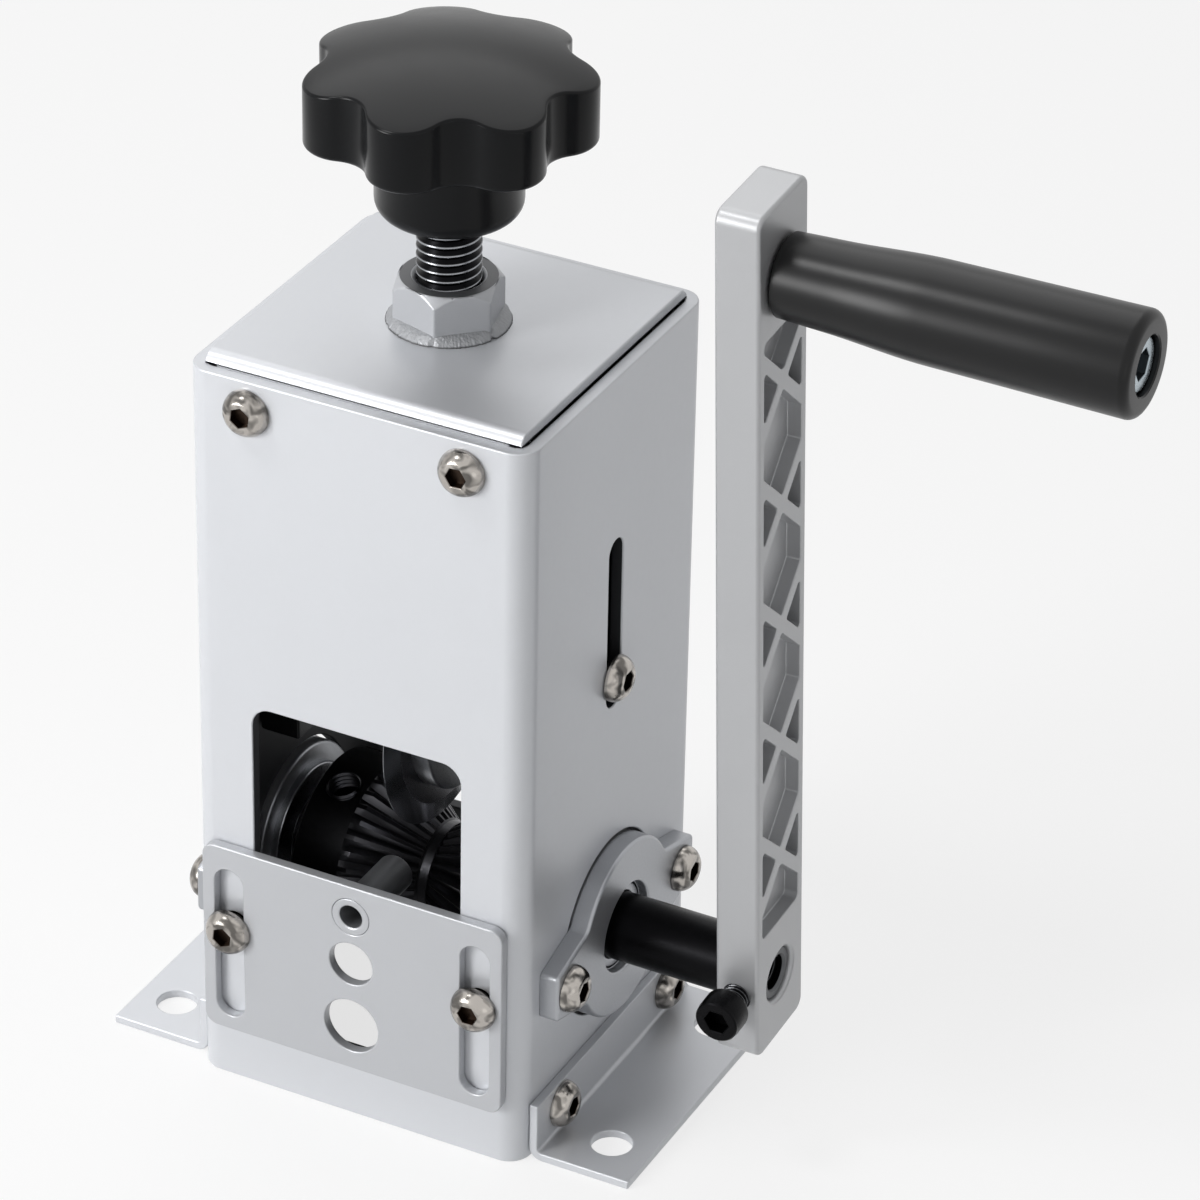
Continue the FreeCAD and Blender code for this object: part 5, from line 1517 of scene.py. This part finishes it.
class WIRESTRIPPER_OT_stage(bpy.types.Operator):
    """Pale floor, soft lamps and the camera"""
    bl_idname = "wirestripper.stage"
    bl_label = "Stage"

    def seen(self, tree):
        """1 for what the camera sees directly, in a gloss or through a clear piece, 0 for other light."""
        ways = add_node(tree, "ShaderNodeLightPath").outputs
        first = add_node(tree, "ShaderNodeMath", {0: ways["Is Camera Ray"], 1: ways["Is Glossy Ray"]},
                         operation="MAXIMUM")
        both = add_node(tree, "ShaderNodeMath", {0: first.outputs[0], 1: ways["Is Transmission Ray"]},
                        operation="MAXIMUM")
        return both.outputs[0]

    def execute(self, context):
        scene = context.scene
        floor = make_object("floor", slab(circle(6000, 0, 0, 96), -4, -0.02))
        material = bpy.data.materials.new("pale_floor")
        material.use_nodes = True
        tree = material.node_tree
        shader = tree.nodes["Principled BSDF"]
        shader.inputs["Base Color"].default_value = colour_of("floor")
        shader.inputs["Roughness"].default_value = 0.8
        shader.inputs["Specular IOR Level"].default_value = 0.1
        # Seen directly or in a gloss, the floor is nearly as white as the background, with a soft shadow.
        white = add_node(tree, "ShaderNodeEmission", {"Color": (1, 1, 1, 1), "Strength": 1.0})
        share = add_node(tree, "ShaderNodeMath", {0: self.seen(tree), 1: 0.75}, operation="MULTIPLY")
        mixed = add_node(tree, "ShaderNodeMixShader", {0: share.outputs[0], 1: shader.outputs[0],
                                                       2: white.outputs[0]})
        tree.links.new(mixed.outputs[0], tree.nodes["Material Output"].inputs["Surface"])
        floor.data.materials.append(material)

        world = bpy.data.worlds.new("studio")
        world.use_nodes = True
        tree = world.node_tree
        sky = tree.nodes["Background"]
        level = add_node(tree, "ShaderNodeMapRange", {"Value": self.seen(tree), "To Min": 0.28,
                                                      "To Max": 1.0})
        tree.links.new(level.outputs["Result"], sky.inputs["Strength"])
        sky.inputs["Color"].default_value = (1, 1, 1, 1)
        scene.world = world

        # Name, place and width in metres, and watts
        lamps = (
            ("key", (-0.6, -0.9, 0.4), 0.5, 8.6),
            ("top", (-0.5, -0.43, 1.25), 0.3, 3.9),
            ("back", (-0.45, 0.6, 1.2), 1.2, 4.3),
            ("side", (1.0, -0.6, 0.1), 0.6, 0.35),
        )
        for name, at, size, power in lamps:
            lamp = bpy.data.lights.new(name, "AREA")
            lamp.shape = "DISK"
            lamp.size = size
            lamp.energy = power
            holder = bpy.data.objects.new(name, lamp)
            holder.location = at
            holder.rotation_mode = "QUATERNION"
            holder.rotation_quaternion = (Vector((0, 0, 0.1)) - Vector(at)).to_track_quat("-Z", "Y")
            scene.collection.objects.link(holder)

        # The photograph's viewing angle, fitted to the housing's corners
        camera = bpy.data.cameras.new("camera")
        camera.sensor_width = 36
        camera.lens = 170.24
        camera.clip_end = 100
        holder = bpy.data.objects.new("camera", camera)
        turn = math.radians(26.721)
        tilt = math.radians(31.1426)
        back = Vector((math.sin(turn) * math.cos(tilt), -math.cos(turn) * math.cos(tilt), math.sin(tilt)))
        back.normalize()
        right = Vector((0, 0, 1)).cross(back).normalized()
        up = back.cross(right)
        roll = math.radians(1.2018)
        across = right * math.cos(roll) + up * math.sin(roll)
        upward = up * math.cos(roll) - right * math.sin(roll)
        turned = Matrix((across, upward, back)).transposed().to_4x4()
        holder.matrix_world = Matrix.Translation(Vector((493.6, -908.4, 734.7)) * MM) @ turned
        scene.collection.objects.link(holder)
        scene.camera = holder
        scene.view_settings.view_transform = "Standard"
        return {"FINISHED"}


STEPS = (
    WIRESTRIPPER_OT_housing, WIRESTRIPPER_OT_top_plate, WIRESTRIPPER_OT_spindle_nut,
    WIRESTRIPPER_OT_foot_brackets, WIRESTRIPPER_OT_bearing_housings, WIRESTRIPPER_OT_screws,
    WIRESTRIPPER_OT_feed_plate, WIRESTRIPPER_OT_carriage, WIRESTRIPPER_OT_blade, WIRESTRIPPER_OT_spindle,
    WIRESTRIPPER_OT_knob, WIRESTRIPPER_OT_shaft, WIRESTRIPPER_OT_roller, WIRESTRIPPER_OT_crank,
    WIRESTRIPPER_OT_grip, WIRESTRIPPER_OT_stage,
)


class WIRESTRIPPER_PT_panel(bpy.types.Panel):
    """Lists the pieces and their settings"""
    bl_idname = "WIRESTRIPPER_PT_panel"
    bl_label = "Wire Stripping Machine"
    bl_space_type = "VIEW_3D"
    bl_region_type = "UI"
    bl_category = "Wire Stripper"

    def draw(self, context):
        for group in (context.scene.stripper_sizes, context.scene.stripper_colours):
            box = self.layout.box()
            for name in group.bl_rna.properties.keys():
                if name not in ("rna_type", "name"):
                    box.prop(group, name)
        column = self.layout.column(align=True)
        for step in STEPS:
            column.operator(step.bl_idname)


CLASSES = (StripperSizes, StripperColours, *STEPS, WIRESTRIPPER_PT_panel)


def register():
    for cls in CLASSES:
        bpy.utils.register_class(cls)
    bpy.types.Scene.stripper_sizes = bpy.props.PointerProperty(type=StripperSizes)
    bpy.types.Scene.stripper_colours = bpy.props.PointerProperty(type=StripperColours)


def unregister():
    del bpy.types.Scene.stripper_colours
    del bpy.types.Scene.stripper_sizes
    for cls in reversed(CLASSES):
        bpy.utils.unregister_class(cls)


def main():
    register()
    for step in STEPS:
        family, name = step.bl_idname.split(".")
        getattr(getattr(bpy.ops, family), name)()


if __name__ == "__main__":
    main()
